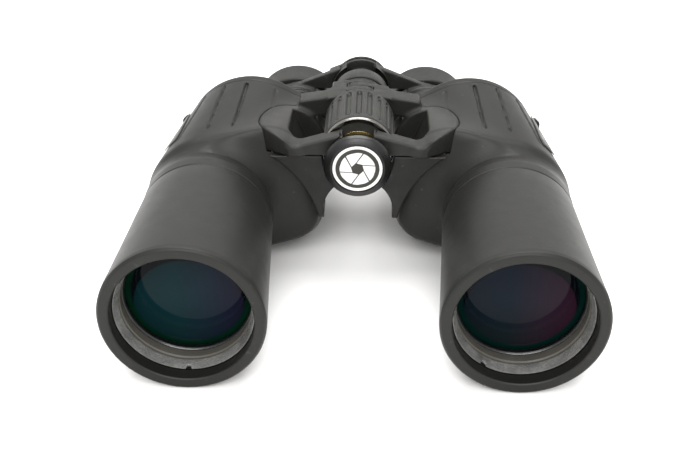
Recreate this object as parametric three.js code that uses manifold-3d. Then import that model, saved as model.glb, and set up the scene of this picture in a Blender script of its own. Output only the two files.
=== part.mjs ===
// Full-size Porro-prism binoculars with a centre hinge and a centre focus wheel, in millimetres.
// X runs across both barrels, Y from the objectives (-Y) to the eyepieces (+Y), Z is up.
// Each half is drawn on the +X side of the hinge; the -X half is its mirror image.
import * as THREE from "three";
import { mergeVertices } from "three/addons/utils/BufferGeometryUtils.js";
import Module from "manifold-3d";

// Driving dimensions
const HINGE_Z = 57;
const OBJECTIVE = { x: 64, z: 32 };
const EYEPIECE = { x: 31, z: 38 };
const RIM_Y = -90;
const SEAM_Y = -18;
const HOUSING_FRONT_Y = 5;
const HOUSING_REAR_Y = 53;
const EYECUP_REAR_Y = 90;
const GAP = 0.3;

const RIM_R = 32;
const SLEEVE_REAR_R = 28.1;
const COVE_DEPTH = 2.8;
const SKIN = 2.5;
const WALL = 2.2;
const TUBE_REAR_R = 23.2;
const TUBE_WALL = 1.5;
const TUBE_FRONT_R = 28.6;
const TUBE_SEAM_R = 25.6;
const LENS_R = 25;
const TRIM_R = 26.8;
const TRIM_Y = [-84.3, -80.2];
const CELL_Y = [-79.9, -58.9];
const CROWN_Y = -74.3;
const FLINT_Y = -65.6;

const HINGE_BARREL_R = 12.4;
const APRON_BORE_R = 15.1;
const SLEEVE_COLLAR_R = 13;
const SLEEVE_Y = [32.8, 50.1, 58.8];
const FRONT_KNUCKLE_R = 12.2;
const FRONT_JOURNAL_R = 7;
const REAR_KNUCKLE_R = 12.3;
const REAR_SLEEVE_R = 9;
const AXLE_R = 4;
const SPINDLE_R = 7.2;
const SPINDLE_JOURNAL_R = 9;
const SPINDLE_FRONT_Y = 13.2;
const SPINDLE_FLANGE_R = 10.5;
const SPINDLE_FLANGE_Y = [62.7, 66.7];
const SPINDLE_REAR_Y = 73.4;
const AXLE_REAR_Y = 57;
const HUB_R = 13.1;
const WHEEL_R = 15.3;
const WHEEL_Y = [1.3, 32];
const WHEEL_RIBS = 20;
const WHEEL_SPACE_R = 16.2;

const COLLAR_R = 19.4;
const COLLAR_Y = [60, 70.2];
const FLANGE_REAR_Y = 64.7;
const BRIDGE_Y = 65;
const EYE_TUBE_R = 15.5;
const EYE_TUBE_FRONT_R = 12.5;
const TUBE_STEP_Y = 50.8;
const FOCUS_TRAVEL = 3.4;
const OCULAR_R = 13.7;
const EYE_LENS_R = 11.9;
const EYECUP_R = 20.7;
const EYECUP_Y = 72;

// Light shifts from the objective axis to the eyepiece axis by two equal steps at right angles.
const PRISM_STEP = Math.hypot(OBJECTIVE.x - EYEPIECE.x, OBJECTIVE.z - EYEPIECE.z) / Math.SQRT2;
const PRISM_WIDTH = 18;
const FRONT_PRISM_Y = [10.5, 27];
const REAR_PRISM_Y = [29, 46.5];
const SHELF_Y = [27.3, 28.7];

// Facets round a full turn; multiples of four keep the true width and height
const FINE = 24;
const COARSE = 16;
const SMALL = 12;

const wasm = await Module();
wasm.setup();

// ---------------------------------------------------------------- shapes

// A closed geometry as a solid with its faces pointing out.
function solid(geometry) {
  const bare = geometry.index ? geometry.toNonIndexed() : geometry.clone();
  bare.deleteAttribute("normal");
  bare.deleteAttribute("uv");
  const merged = mergeVertices(bare, 1e-4);
  const corners = merged.index.array;
  const build = (a, b) => {
    const triVerts = [];
    for (let i = 0; i < corners.length; i += 3) {
      const face = [corners[i], corners[i + a], corners[i + b]];
      if (new Set(face).size === 3) triVerts.push(...face);
    }
    return new wasm.Manifold(
      new wasm.Mesh({
        numProp: 3,
        vertProperties: new Float32Array(merged.attributes.position.array),
        triVerts: Uint32Array.from(triVerts),
      }),
    );
  };
  const made = build(1, 2);
  return made.volume() < 0 ? build(2, 1) : made;
}

const union = (...bodies) => bodies.reduce((sum, body) => sum.add(body));
const cut = (body, ...tools) => tools.reduce((rest, tool) => rest.subtract(tool), body);

// A profile of [radius, y] points turned about the axis through `at`, along Y.
function turned(profile, at, segments = FINE) {
  const points = profile.map(([r, y]) => new THREE.Vector2(r, y));
  const geometry = new THREE.LatheGeometry(points, segments);
  return solid(geometry.translate(at.x, 0, at.z));
}

const disc = (r, y0, y1, at, segments) => turned([[0, y0], [r, y0], [r, y1], [0, y1]], at, segments);

const ring = (inner, outer, y0, y1, at, segments) =>
  turned([[inner, y0], [outer, y0], [outer, y1], [inner, y1], [inner, y0]], at, segments);

function block([x0, x1], [y0, y1], [z0, z1]) {
  const geometry = new THREE.BoxGeometry(x1 - x0, y1 - y0, z1 - z0);
  return solid(geometry.translate((x0 + x1) / 2, (y0 + y1) / 2, (z0 + z1) / 2));
}

// An outline of [x, z] points drawn out along Y.
function bar(outline, y0, y1) {
  const shape = new THREE.Shape(outline.map(([x, z]) => new THREE.Vector2(x, z)));
  const geometry = new THREE.ExtrudeGeometry(shape, { depth: y1 - y0, bevelEnabled: false });
  return solid(geometry.rotateX(Math.PI / 2).translate(0, y1, 0));
}

// An outline of [x, y] points drawn up along Z.
function slab(outline, z0, z1) {
  const shape = new THREE.Shape(outline.map(([x, y]) => new THREE.Vector2(x, y)));
  const geometry = new THREE.ExtrudeGeometry(shape, { depth: z1 - z0, bevelEnabled: false });
  return solid(geometry.translate(0, 0, z0));
}

// A skin through closed rings of Vector3 points, with a flat cap at each end.
function loft(rings) {
  const count = rings[0].length;
  const centre = (points) => points.reduce((sum, p) => sum.add(p), new THREE.Vector3()).divideScalar(count);
  const points = [...rings.flat(), centre(rings[0]), centre(rings.at(-1))];
  const first = rings.length * count;
  const index = [];
  for (let k = 0; k < count; k += 1) {
    const next = (k + 1) % count;
    for (let row = 0; row < rings.length - 1; row += 1) {
      const a = row * count;
      const b = a + count;
      index.push(a + k, b + k, a + next, a + next, b + k, b + next);
    }
    const last = (rings.length - 1) * count;
    index.push(first, k, next, first + 1, last + next, last + k);
  }
  return solid(new THREE.BufferGeometry().setFromPoints(points).setIndex(index));
}

// The circle that reaches furthest in a direction: the hull of the circles has its skin there.
function furthest(circles, nx, nz) {
  const reach = (c) => c.x * nx + c.z * nz + c.r;
  return circles.reduce((best, c) => (reach(c) > reach(best) ? c : best));
}

// The outline round a set of circles, as [x, z] points, drawn in by `inset`.
function around(circles, inset = 0, segments = FINE) {
  return Array.from({ length: segments }, (_, k) => {
    const angle = (2 * Math.PI * k) / segments;
    const nx = Math.cos(angle);
    const nz = Math.sin(angle);
    const c = furthest(circles, nx, nz);
    return [c.x + (c.r - inset) * nx, c.z + (c.r - inset) * nz];
  });
}

// ---------------------------------------------------------------- prism housing outline

const FRONT_CIRCLES = [
  { x: 62, z: 32.5, r: 29.5 },
  { x: 40, z: 46, r: 20.5 },
  { x: 32, z: 16.5, r: 16.5 },
];
const REAR_CIRCLES = [
  { x: 49.8, z: 38, r: 29.5 },
  { x: 30.5, z: 38.5, r: 20.5 },
  { x: 34, z: 16, r: 16 },
];

// The circles that the housing is stretched round, at a place along Y.
function housingCircles(y) {
  const t = (y - HOUSING_FRONT_Y) / (HOUSING_REAR_Y - HOUSING_FRONT_Y);
  const mix = THREE.MathUtils.lerp;
  return FRONT_CIRCLES.map((front, i) => ({
    x: mix(front.x, REAR_CIRCLES[i].x, t),
    z: mix(front.z, REAR_CIRCLES[i].z, t),
    r: mix(front.r, REAR_CIRCLES[i].r, t),
  }));
}

const housingRing = (y, inset) =>
  around(housingCircles(y), inset).map(([x, z]) => new THREE.Vector3(x, y, z));

const housingLoft = (inset, y0, y1) => loft([housingRing(y0, inset), housingRing(y1, inset)]);

// A ring of the rubber skin: `spread` 0 is the round barrel and 1 the whole housing,
// and `cove` is how deep the valley behind the barrel is on the side that faces the hinge.
function skinRing(y, spread, cove, inset = 0) {
  return housingRing(y, inset).map((wide, k) => {
    const angle = (2 * Math.PI * k) / FINE;
    const nx = Math.cos(angle);
    const r = SLEEVE_REAR_R - cove * Math.sqrt((1 - nx) / 2);
    const round = new THREE.Vector3(OBJECTIVE.x + r * nx, y, OBJECTIVE.z + r * Math.sin(angle));
    return round.lerp(wide, spread);
  });
}

const outerSkin = loft([
  skinRing(SEAM_Y, 0, 0),
  skinRing(SEAM_Y + 6, 0, 0),
  skinRing(SEAM_Y + 10, 0, COVE_DEPTH * 0.6),
  skinRing(SEAM_Y + 14, 0, COVE_DEPTH),
  skinRing(HOUSING_FRONT_Y - 5.5, 0.35, COVE_DEPTH),
  skinRing(HOUSING_FRONT_Y - 3, 0.88, 0),
  skinRing(HOUSING_FRONT_Y, 1, 0),
  skinRing(HOUSING_REAR_Y - 3, 1, 0),
  skinRing(HOUSING_REAR_Y, 1, 0, 1.5),
]);

const hinge = { x: 0, z: HINGE_Z };

// ---------------------------------------------------------------- bare frame left uncovered by the rubber

// The rounded top lobe that carries both hinge arms, seen from above.
const LOBE = { x: 27, y: 15, across: 16, along: 21, from: 45 };
const lobeOutline = (grow) =>
  Array.from({ length: FINE }, (_, k) => {
    const angle = (2 * Math.PI * k) / FINE;
    return [
      LOBE.x + (LOBE.across + grow) * Math.cos(angle),
      LOBE.y + (LOBE.along + grow) * Math.sin(angle),
    ];
  });

// The front plate between the hinge and the round edge of the rubber.
const APRON_EDGE = { x: 64.5, z: 17 };
const APRON_EDGE_R = 48.5;
const ARCH = { x: -1, z: 31 };
const ARCH_R = 16;
const APRON_BACK_Y = HOUSING_FRONT_Y + 4;
const ARM_UNDER_Z = 57.7;
const ARM_ROOT_X = 26;
const FRONT_ARM_Y = [-5.7, 2];
const REAR_ARM_Y = [33.3, 42];

const apronPlate = (grow, y0, y1) =>
  cut(
    block([5, 42], [y0, y1], [19 - grow, ARM_UNDER_Z - GAP]),
    disc(APRON_EDGE_R - grow, y0 - 1, y1 + 1, APRON_EDGE),
    disc(ARCH_R - grow, y0 - 1, y1 + 1, ARCH),
    disc(APRON_BORE_R, y0 - 1, y1 + 1, hinge),
  );

const bareZone = (grow) =>
  union(
    slab(lobeOutline(grow), LOBE.from - grow, 75),
    block([0, ARM_ROOT_X + 1 + grow], [-10, REAR_ARM_Y[1] + grow], [48 - grow, 75]),
    apronPlate(grow, -10, APRON_BACK_Y + grow),
  );

// The finger pocket beside the focus wheel.
const POCKET_Y = [3, 31.5];
const pocket = (grow) =>
  bar(
    [[8, 80], [31 + grow, 80], [29.5 + grow, 60], [24 + grow, 47 - grow], [8, 47 - grow]],
    POCKET_Y[0] - grow,
    POCKET_Y[1] + grow,
  );

const wheelSpace = (grow) => disc(WHEEL_SPACE_R + grow, 0.6, 32.7, hinge);

// The room inside the housing, open at the back.
function cavity(inset) {
  const depth = HOUSING_FRONT_Y + 2 + inset;
  const room = housingLoft(SKIN + GAP + WALL + inset, depth, HOUSING_REAR_Y + 2);
  return cut(room, pocket(WALL + inset), wheelSpace(WALL + inset));
}

// ---------------------------------------------------------------- materials

const paint = (color, roughness, metalness) =>
  new THREE.MeshStandardMaterial({ color, roughness, metalness });

const armourRubber = paint(0x34342f, 0.72, 0);
const frameSatin = paint(0x3a3a36, 0.5, 0.1);
const blackAnodised = paint(0x161617, 0.35, 0.6);
const glossBlack = paint(0x141415, 0.2, 0.3);
const brass = paint(0xb08d4a, 0.3, 1);
const steel = paint(0x8d8f92, 0.35, 1);
const chrome = paint(0xd8dadd, 0.1, 1);
const springSteel = paint(0x9c9ea0, 0.3, 1);
const coatedGlass = paint(0x1d5560, 0.05, 0);
const prismGlass = paint(0xc8d8d4, 0.05, 0);
const white = paint(0xf2f2ef, 0.4, 0);
const badgeGrey = paint(0x77786f, 0.4, 0.3);

const binoculars = new THREE.Group();

// Adds one named piece made from a solid.
function add(group, name, body, material) {
  const { vertProperties, triVerts } = body.getMesh();
  const geometry = new THREE.BufferGeometry();
  geometry.setAttribute("position", new THREE.BufferAttribute(vertProperties, 3));
  geometry.setIndex(new THREE.BufferAttribute(triVerts, 1));
  geometry.computeVertexNormals();
  const mesh = new THREE.Mesh(geometry, material);
  mesh.name = name;
  group.add(mesh);
}

// ---------------------------------------------------------------- hinge and focus drive

const CAP_Y = [-15.5, -12.3];
const BARREL_Y = [-12, -6];
const CAP_RIM_Y = -14.3;
const CAP_R = [11.2, 13.6, 14.5];
const EMBLEM_R = 10.6;
const EMBLEM_DEPTH = 0.6;
const STUD_R = 3;
const STUD_HEAD_R = 6;
const STUD_Y = [-13.5, -7];
const WASHER_R = 9.5;
const WASHER_Y = [0.5, 1];

function addHinge() {
  const barrel = ring(STUD_R + GAP, HINGE_BARREL_R, ...BARREL_Y, hinge);
  add(binoculars, "front_hinge_barrel", barrel, frameSatin);
  const [front] = FRONT_ARM_Y;
  const axle = turned(
    [
      [0, front],
      [FRONT_JOURNAL_R, front],
      [FRONT_JOURNAL_R, WASHER_Y[1]],
      [AXLE_R, WASHER_Y[1]],
      [AXLE_R, AXLE_REAR_Y],
      [0, AXLE_REAR_Y],
    ],
    hinge,
    COARSE,
  );
  add(binoculars, "hinge_axle", axle, steel);
  const washer = ring(FRONT_JOURNAL_R + GAP, WASHER_R, ...WASHER_Y, hinge, COARSE);
  add(binoculars, "brass_washer", washer, brass);
  const [sleeveFront, collarFront, collarRear] = SLEEVE_Y;
  const bore = SPINDLE_R + GAP;
  const sleeve = turned(
    [
      [bore, sleeveFront],
      [REAR_SLEEVE_R, sleeveFront],
      [REAR_SLEEVE_R, collarFront],
      [SLEEVE_COLLAR_R, collarFront],
      [SLEEVE_COLLAR_R, collarRear],
      [bore, collarRear],
      [bore, sleeveFront],
    ],
    hinge,
  );
  add(binoculars, "rear_hinge_sleeve", sleeve, frameSatin);
}

function addTripodCap() {
  const [front, rear] = CAP_Y;
  const [faceR, rimR, rearR] = CAP_R;
  const cap = cut(
    turned([[0, front], [faceR, front], [rimR, CAP_RIM_Y], [rearR, rear], [0, rear]], hinge),
    disc(EMBLEM_R + GAP, front - 1, front + EMBLEM_DEPTH + GAP, hinge),
    disc(STUD_HEAD_R + GAP, STUD_Y[0] - GAP, rear + 1, hinge, SMALL),
  );
  add(binoculars, "tripod_cap", cap, frameSatin);
  add(binoculars, "cap_emblem", disc(EMBLEM_R, front, front + EMBLEM_DEPTH, hinge), white);
  const stud = union(
    disc(STUD_HEAD_R, STUD_Y[0], rear, hinge, SMALL),
    disc(STUD_R, rear - 1, STUD_Y[1], hinge, SMALL),
  );
  add(binoculars, "cap_stud", stud, brass);
}

function addFocusDrive() {
  const [front, rear] = WHEEL_Y;
  const seatR = 12.9;
  const body = turned(
    [
      [AXLE_R + GAP, front],
      [seatR, front],
      [seatR, front + 1.8],
      [WHEEL_R, front + 1.8],
      [WHEEL_R, rear - 1.2],
      [WHEEL_R - 1.2, rear],
      [SPINDLE_R + GAP, rear],
      [SPINDLE_R + GAP, front + 8],
      [AXLE_R + GAP, front + 8],
      [AXLE_R + GAP, front],
    ],
    hinge,
  );
  const slots = Array.from({ length: WHEEL_RIBS }, (_, k) => {
    const geometry = new THREE.BoxGeometry(1.9, rear - front - 9, 1.6);
    geometry.translate(0, (front + rear) / 2 + 1, WHEEL_R);
    geometry.rotateY((2 * Math.PI * k) / WHEEL_RIBS);
    return solid(geometry.translate(0, 0, HINGE_Z));
  });
  add(binoculars, "focus_wheel", cut(body, ...slots), armourRubber);
  add(binoculars, "wheel_bead", ring(seatR + GAP, WHEEL_R + 0.1, front, front + 1.5, hinge), chrome);
  const [flangeFront, flangeRear] = SPINDLE_FLANGE_Y;
  const boreRear = AXLE_REAR_Y + 4.5;
  const spindle = turned(
    [
      [AXLE_R + GAP, SPINDLE_FRONT_Y],
      [SPINDLE_R, SPINDLE_FRONT_Y],
      [SPINDLE_R, flangeFront],
      [SPINDLE_FLANGE_R, flangeFront],
      [SPINDLE_FLANGE_R, flangeRear],
      [SPINDLE_JOURNAL_R, flangeRear],
      [SPINDLE_JOURNAL_R, SPINDLE_REAR_Y],
      [0, SPINDLE_REAR_Y],
      [0, boreRear],
      [AXLE_R + GAP, boreRear],
      [AXLE_R + GAP, SPINDLE_FRONT_Y],
    ],
    hinge,
    COARSE,
  );
  add(binoculars, "focus_spindle", spindle, glossBlack);
  const head = disc(SPINDLE_JOURNAL_R + 0.5, SPINDLE_REAR_Y + GAP, SPINDLE_REAR_Y + 2.2, hinge);
  const slot = block([-7, 7], [SPINDLE_REAR_Y + 1.4, 77], [HINGE_Z - 0.8, HINGE_Z + 0.8]);
  const screw = cut(head, slot);
  add(binoculars, "hub_screw", screw, blackAnodised);
}

// ---------------------------------------------------------------- one half

// Where each half's knuckles sit along the hinge; the two halves take turns.
const FRONT_KNUCKLE_Y = { left: [-5.7, -2.8], right: [-2.5, 0.2] };
const REAR_KNUCKLE_Y = {
  left: [[33.3, 37.2], [41.7, 45.6]],
  right: [[37.5, 41.4], [45.9, 49.8]],
};
const HUB_Y = { left: [67, 69.9], right: [70.2, 73.1] };

// A hinge arm cut back to its own knuckles, so that it clears the other half's.
function knuckled(arm, knuckles, outer, inner, [y0, y1]) {
  const stops = [y0, ...knuckles.flat(), y1];
  for (let i = 0; i < stops.length; i += 2) {
    arm = cut(arm, disc(outer + GAP, stops[i], stops[i + 1], hinge));
  }
  return cut(arm, disc(inner, y0, y1, hinge, COARSE));
}

function frontArm(side) {
  const knuckle = FRONT_KNUCKLE_Y[side];
  const outline = around([{ ...hinge, r: FRONT_KNUCKLE_R }, { x: 31, z: 49, r: 11 }], 0, COARSE);
  const room = block([0, ARM_ROOT_X], [-6, 3], [ARM_UNDER_Z, 80]);
  const beam = bar(outline, ...FRONT_ARM_Y).intersect(room);
  const arm = union(beam, disc(FRONT_KNUCKLE_R, ...knuckle, hinge));
  return knuckled(arm, [knuckle], FRONT_KNUCKLE_R, FRONT_JOURNAL_R + GAP, [-9, 4]);
}

function rearArm(side) {
  const knuckles = REAR_KNUCKLE_Y[side];
  const outline = around([{ ...hinge, r: REAR_KNUCKLE_R }, { x: 32, z: 52, r: 12 }], 0, COARSE);
  const within = (x) => block([0, x], [33, 50], [ARM_UNDER_Z, 80]);
  const beam = bar(outline, ...REAR_ARM_Y).intersect(within(ARM_ROOT_X));
  const root = bar(outline, REAR_ARM_Y[0], knuckles[1][1]).intersect(within(17));
  const rings = knuckles.map(([y0, y1]) => disc(REAR_KNUCKLE_R, y0, y1, hinge));
  const arm = union(beam, root, ...rings);
  return knuckled(arm, knuckles, REAR_KNUCKLE_R, REAR_SLEEVE_R + GAP, [30, 52]);
}

function prismHousing(side) {
  const rear = HOUSING_REAR_Y - 3 - GAP;
  const shell = housingLoft(SKIN + GAP, HOUSING_FRONT_Y - 0.4, rear);
  const bare = outerSkin.intersect(bareZone(0)).intersect(block([0, 60], [-8, rear], [0, 80]));
  const lobe = housingLoft(0, FRONT_ARM_Y[0], rear).intersect(slab(lobeOutline(0), ARM_UNDER_Z, 75));
  const apronRoot = apronPlate(0, -1.7, APRON_BACK_Y);
  return cut(
    union(shell, bare, lobe, apronRoot, frontArm(side), rearArm(side)),
    wheelSpace(0),
    cavity(0),
    pocket(0),
    disc(TUBE_REAR_R + GAP, -20, 12, OBJECTIVE),
    disc(EYE_TUBE_R + GAP, TUBE_STEP_Y - FOCUS_TRAVEL - GAP, 60, EYEPIECE),
  );
}

const tubeOuter = [
  [TUBE_FRONT_R, RIM_Y + 6],
  [TUBE_FRONT_R, RIM_Y + 28],
  [TUBE_SEAM_R, SEAM_Y - 2],
  [TUBE_REAR_R, SEAM_Y + 6],
  [TUBE_REAR_R, HOUSING_FRONT_Y + 2.5],
];

// Where the spanner notches of each retaining ring sit, in degrees from the lowest point.
const NOTCH_TURN = { left: 32, right: 0 };

// The rubber sleeve with its flared rim.
function addSleeve(half, side) {
  const lipR = 27.2;
  const frontR = TUBE_FRONT_R + GAP;
  const seamR = TUBE_SEAM_R + GAP;
  const sleeve = turned(
    [
      [lipR, RIM_Y + 0.6],
      [lipR + 0.6, RIM_Y],
      [RIM_R - 0.8, RIM_Y],
      [RIM_R, RIM_Y + 0.8],
      [RIM_R, RIM_Y + 3],
      [SLEEVE_REAR_R, SEAM_Y - GAP],
      [seamR, SEAM_Y - GAP],
      [seamR, SEAM_Y - 2],
      [frontR, RIM_Y + 28],
      [frontR, RIM_Y + 6 - GAP],
      [lipR, RIM_Y + 6 - GAP],
      [lipR, RIM_Y + 0.6],
    ],
    OBJECTIVE,
  );
  add(half, side + "_objective_armour", sleeve, armourRubber);
}

function addRetainingRing(half, side) {
  const [front, rear] = TRIM_Y;
  const innerR = TRIM_R - 0.4;
  const body = turned(
    [[innerR, front], [TRIM_R, front], [TRIM_R, rear], [LENS_R + 0.2, rear], [innerR, front]],
    OBJECTIVE,
    COARSE,
  );
  const notches = [0, 180].map((turn) => {
    const geometry = new THREE.BoxGeometry(2.4, 3.4, 2.6).translate(0, front, -LENS_R - 1.9);
    geometry.rotateY(THREE.MathUtils.degToRad(NOTCH_TURN[side] + turn));
    return solid(geometry.translate(OBJECTIVE.x, 0, OBJECTIVE.z));
  });
  add(half, side + "_retaining_ring", cut(body, ...notches), glossBlack);
}

function addObjective(half, side) {
  const inner = tubeOuter.map(([r, y]) => [r - TUBE_WALL, y]).reverse();
  const tube = turned([...tubeOuter, ...inner, tubeOuter[0]], OBJECTIVE, COARSE);
  add(half, side + "_objective_tube", tube, blackAnodised);
  addSleeve(half, side);
  addRetainingRing(half, side);

  const [front, rear] = CELL_Y;
  const seatR = LENS_R + GAP;
  const flangeR = LENS_R - 1.5;
  const cell = turned(
    [
      [seatR, front],
      [TRIM_R, front],
      [TRIM_R, rear],
      [flangeR, rear],
      [flangeR, rear - 1.5],
      [seatR, rear - 1.5],
      [seatR, front],
    ],
    OBJECTIVE,
    COARSE,
  );
  add(half, side + "_objective_cell", cell, blackAnodised);
  const lens = (points, y) =>
    turned(points.map(([r, depth]) => [r, y + depth]), OBJECTIVE, COARSE);
  const halfR = LENS_R * 0.52;
  const crown = lens([[0, 0], [halfR, 0.6], [LENS_R, 2.8], [LENS_R, 5.6], [halfR, 7.8], [0, 8.4]], CROWN_Y);
  add(half, side + "_objective_crown", crown, coatedGlass);
  const flint = lens([[0, 0], [halfR, -0.6], [LENS_R, -2.8], [LENS_R, 4.7], [0, 4.1]], FLINT_Y);
  add(half, side + "_objective_flint", flint, coatedGlass);
}

// The room that the objective tube and the end of its sleeve take up inside the rubber skin.
const barrelRoom = turned(
  [
    [0, SEAM_Y - 3],
    [TUBE_SEAM_R + GAP, SEAM_Y - 3],
    [TUBE_SEAM_R + GAP, SEAM_Y - 1.6],
    [TUBE_REAR_R + GAP, SEAM_Y + 6.2],
    [TUBE_REAR_R + GAP, HOUSING_FRONT_Y + 7],
    [0, HOUSING_FRONT_Y + 7],
  ],
  OBJECTIVE,
);

const LUG_OUTLINE = [[66, 31], [69, 29], [84, 29], [86, 31], [86, 45], [84, 47], [69, 47], [66, 45]];
const LUG_SLOT = { x: [78.6, 83.6], z: [31.5, 44.5] };
const BADGE = { thick: 0.7, long: 34, across: 9, turn: 38 };

// A thin plate bent over the outer shoulder of the housing.
function sideBadge() {
  const window = new THREE.BoxGeometry(40, BADGE.long, BADGE.across).translate(34, 27, 0);
  window.rotateY(-THREE.MathUtils.degToRad(BADGE.turn)).translate(56, 0, 35);
  const plate = cut(housingLoft(-GAP - BADGE.thick, 8, 46), housingLoft(-GAP, 7, 47));
  return plate.intersect(solid(window));
}

function addHousing(half, side) {
  add(half, side + "_prism_housing", prismHousing(side), frameSatin);
  const armour = cut(
    outerSkin,
    housingLoft(SKIN, HOUSING_FRONT_Y - 0.7, HOUSING_REAR_Y + 3),
    bareZone(GAP),
    wheelSpace(2),
    barrelRoom,
  );
  add(half, side + "_armour", armour, armourRubber);
  add(half, side + "_front_cover", apronPlate(0, -5.4, -2), frameSatin);

  const rear = HOUSING_REAR_Y;
  const plate = loft([
    housingRing(rear - 3, SKIN + 0.5),
    housingRing(rear - 0.6, SKIN + 0.5),
    housingRing(rear, SKIN + 1.1),
  ]);
  const bore = EYE_TUBE_R + GAP;
  const boss = disc(bore + 1.5, rear - 2, rear + 3.2, EYEPIECE);
  const cover = cut(union(plate, boss), disc(bore, 40, 60, EYEPIECE));
  add(half, side + "_rear_cover", cover, frameSatin);
  const lug = cut(bar(LUG_OUTLINE, rear + GAP, rear + 3.3), block(LUG_SLOT.x, [rear - 3, 60], LUG_SLOT.z));
  add(half, side + "_strap_lug", lug, blackAnodised);
  add(half, side + "_side_badge", sideBadge(), badgeGrey);
}

// A right-angle prism lying across the beam: `from` and `to` are the beam's two places,
// its long face is at `faceY` and its roof is ground off at `roofY`.
function prism(from, to, faceY, roofY) {
  const along = new THREE.Vector2(to.x - from.x, to.z - from.z);
  const half = along.length();
  const centre = { x: (from.x + to.x) / 2, z: (from.z + to.z) / 2 };
  const depth = roofY - faceY;
  const flat = half - Math.abs(depth);
  const shape = new THREE.Shape(
    [[-half, 0], [half, 0], [flat, depth], [-flat, depth]].map(([u, v]) => new THREE.Vector2(u, v)),
  );
  const geometry = new THREE.ExtrudeGeometry(shape, { depth: PRISM_WIDTH, bevelEnabled: false });
  geometry.translate(0, 0, -PRISM_WIDTH / 2).rotateY(-along.angle());
  return solid(geometry.translate(centre.x, faceY, centre.z)).intersect(cavity(0.8));
}

// A thin strap bent over the roof of a prism.
function clip(from, to, faceY, roofY) {
  const along = new THREE.Vector2(to.x - from.x, to.z - from.z);
  const half = along.length();
  const up = Math.sign(roofY - faceY);
  const depth = Math.abs(roofY - faceY);
  const flat = half - depth;
  const bend = (lift, foot) => [
    [-half + 5, 5 + foot], [-flat, depth + lift], [flat, depth + lift], [half - 5, 5 + foot],
  ];
  const points = [...bend(1.5, 1.8), ...bend(0.5, 0.5).reverse()];
  const shape = new THREE.Shape(points.map(([u, v]) => new THREE.Vector2(u, v * up)));
  const geometry = new THREE.ExtrudeGeometry(shape, { depth: 6, bevelEnabled: false });
  geometry.translate(0, 0, -3).rotateY(-along.angle());
  geometry.translate((from.x + to.x) / 2, faceY, (from.z + to.z) / 2);
  return solid(geometry).intersect(cavity(0.4));
}

// Where the beam runs between the two prisms.
const TURN = new THREE.Vector2(EYEPIECE.x - OBJECTIVE.x, EYEPIECE.z - OBJECTIVE.z)
  .rotateAround(new THREE.Vector2(), -Math.PI / 4)
  .setLength(PRISM_STEP);
const MIDWAY = { x: OBJECTIVE.x + TURN.x, z: OBJECTIVE.z + TURN.y };

function addPrisms(half, side) {
  const [frontRoofY, frontFaceY] = FRONT_PRISM_Y;
  add(half, side + "_rear_prism", prism(OBJECTIVE, MIDWAY, ...REAR_PRISM_Y), prismGlass);
  add(half, side + "_front_prism", prism(MIDWAY, EYEPIECE, frontFaceY, frontRoofY), prismGlass);
  add(half, side + "_rear_prism_clip", clip(OBJECTIVE, MIDWAY, ...REAR_PRISM_Y), springSteel);
  add(half, side + "_front_prism_clip", clip(MIDWAY, EYEPIECE, frontFaceY, frontRoofY), springSteel);
  const windows = [OBJECTIVE, MIDWAY, EYEPIECE].map((at) => disc(9, 20, 40, at, SMALL));
  const plate = cavity(0.4).intersect(block([0, 100], SHELF_Y, [0, 80]));
  add(half, side + "_prism_shelf", cut(plate, ...windows), blackAnodised);
}

function addEyepieceTube(half, side) {
  const [front, rear] = COLLAR_Y;
  const hasDioptre = side === "right";
  const rim = [
    [EYE_TUBE_R, front],
    [COLLAR_R, front],
    [COLLAR_R, FLANGE_REAR_Y],
    [EYE_TUBE_R, FLANGE_REAR_Y],
  ];
  const flange = hasDioptre ? [] : rim;
  const boreFrontR = EYE_TUBE_FRONT_R - TUBE_WALL;
  const boreR = OCULAR_R + GAP;
  const tube = turned(
    [
      [boreFrontR, 44],
      [EYE_TUBE_FRONT_R, 44],
      [EYE_TUBE_FRONT_R, TUBE_STEP_Y],
      [EYE_TUBE_R, TUBE_STEP_Y],
      ...flange,
      [EYE_TUBE_R, rear],
      [boreR, rear],
      [boreR, TUBE_STEP_Y + 1.5],
      [boreFrontR, TUBE_STEP_Y + 1.5],
      [boreFrontR, 44],
    ],
    EYEPIECE,
  );
  add(half, side + "_eyepiece_tube", tube, frameSatin);
  if (hasDioptre) {
    const body = ring(EYE_TUBE_R + GAP, COLLAR_R, front, FLANGE_REAR_Y, EYEPIECE);
    const top = EYEPIECE.z + COLLAR_R;
    const line = block([EYEPIECE.x - 2, EYEPIECE.x + 2], [61.8, 62.6], [top - 0.6, top + 1]);
    add(half, "dioptre_ring", cut(body, line), frameSatin);
  }
}

// The arm from the focus spindle to an eyepiece collar.
function addBridge(half, side) {
  const [hub0, hub1] = HUB_Y[side];
  const rear = COLLAR_Y[1];
  const outline = [
    [0, HINGE_Z + HUB_R],
    [EYEPIECE.x + 1, EYEPIECE.z + COLLAR_R - 0.3],
    [EYEPIECE.x - 6, 47],
    [9, HINGE_Z - 1],
    [0, HINGE_Z - 1],
  ];
  const arm = union(
    bar(outline, BRIDGE_Y, rear),
    bar(outline, BRIDGE_Y, hub1).intersect(block([0, 15], [60, 80], [30, 80])),
    disc(HUB_R, hub0, hub1, hinge),
    disc(COLLAR_R, BRIDGE_Y, rear, EYEPIECE),
  );
  const bridge = cut(
    arm,
    disc(HUB_R + GAP, 60, hub0, hinge),
    disc(HUB_R + GAP, hub1, 80, hinge),
    disc(SPINDLE_JOURNAL_R + GAP, 60, 80, hinge, COARSE),
    disc(EYE_TUBE_R + GAP, 60, 80, EYEPIECE),
  );
  add(half, side + "_bridge_arm", bridge, frameSatin);
}

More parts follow.
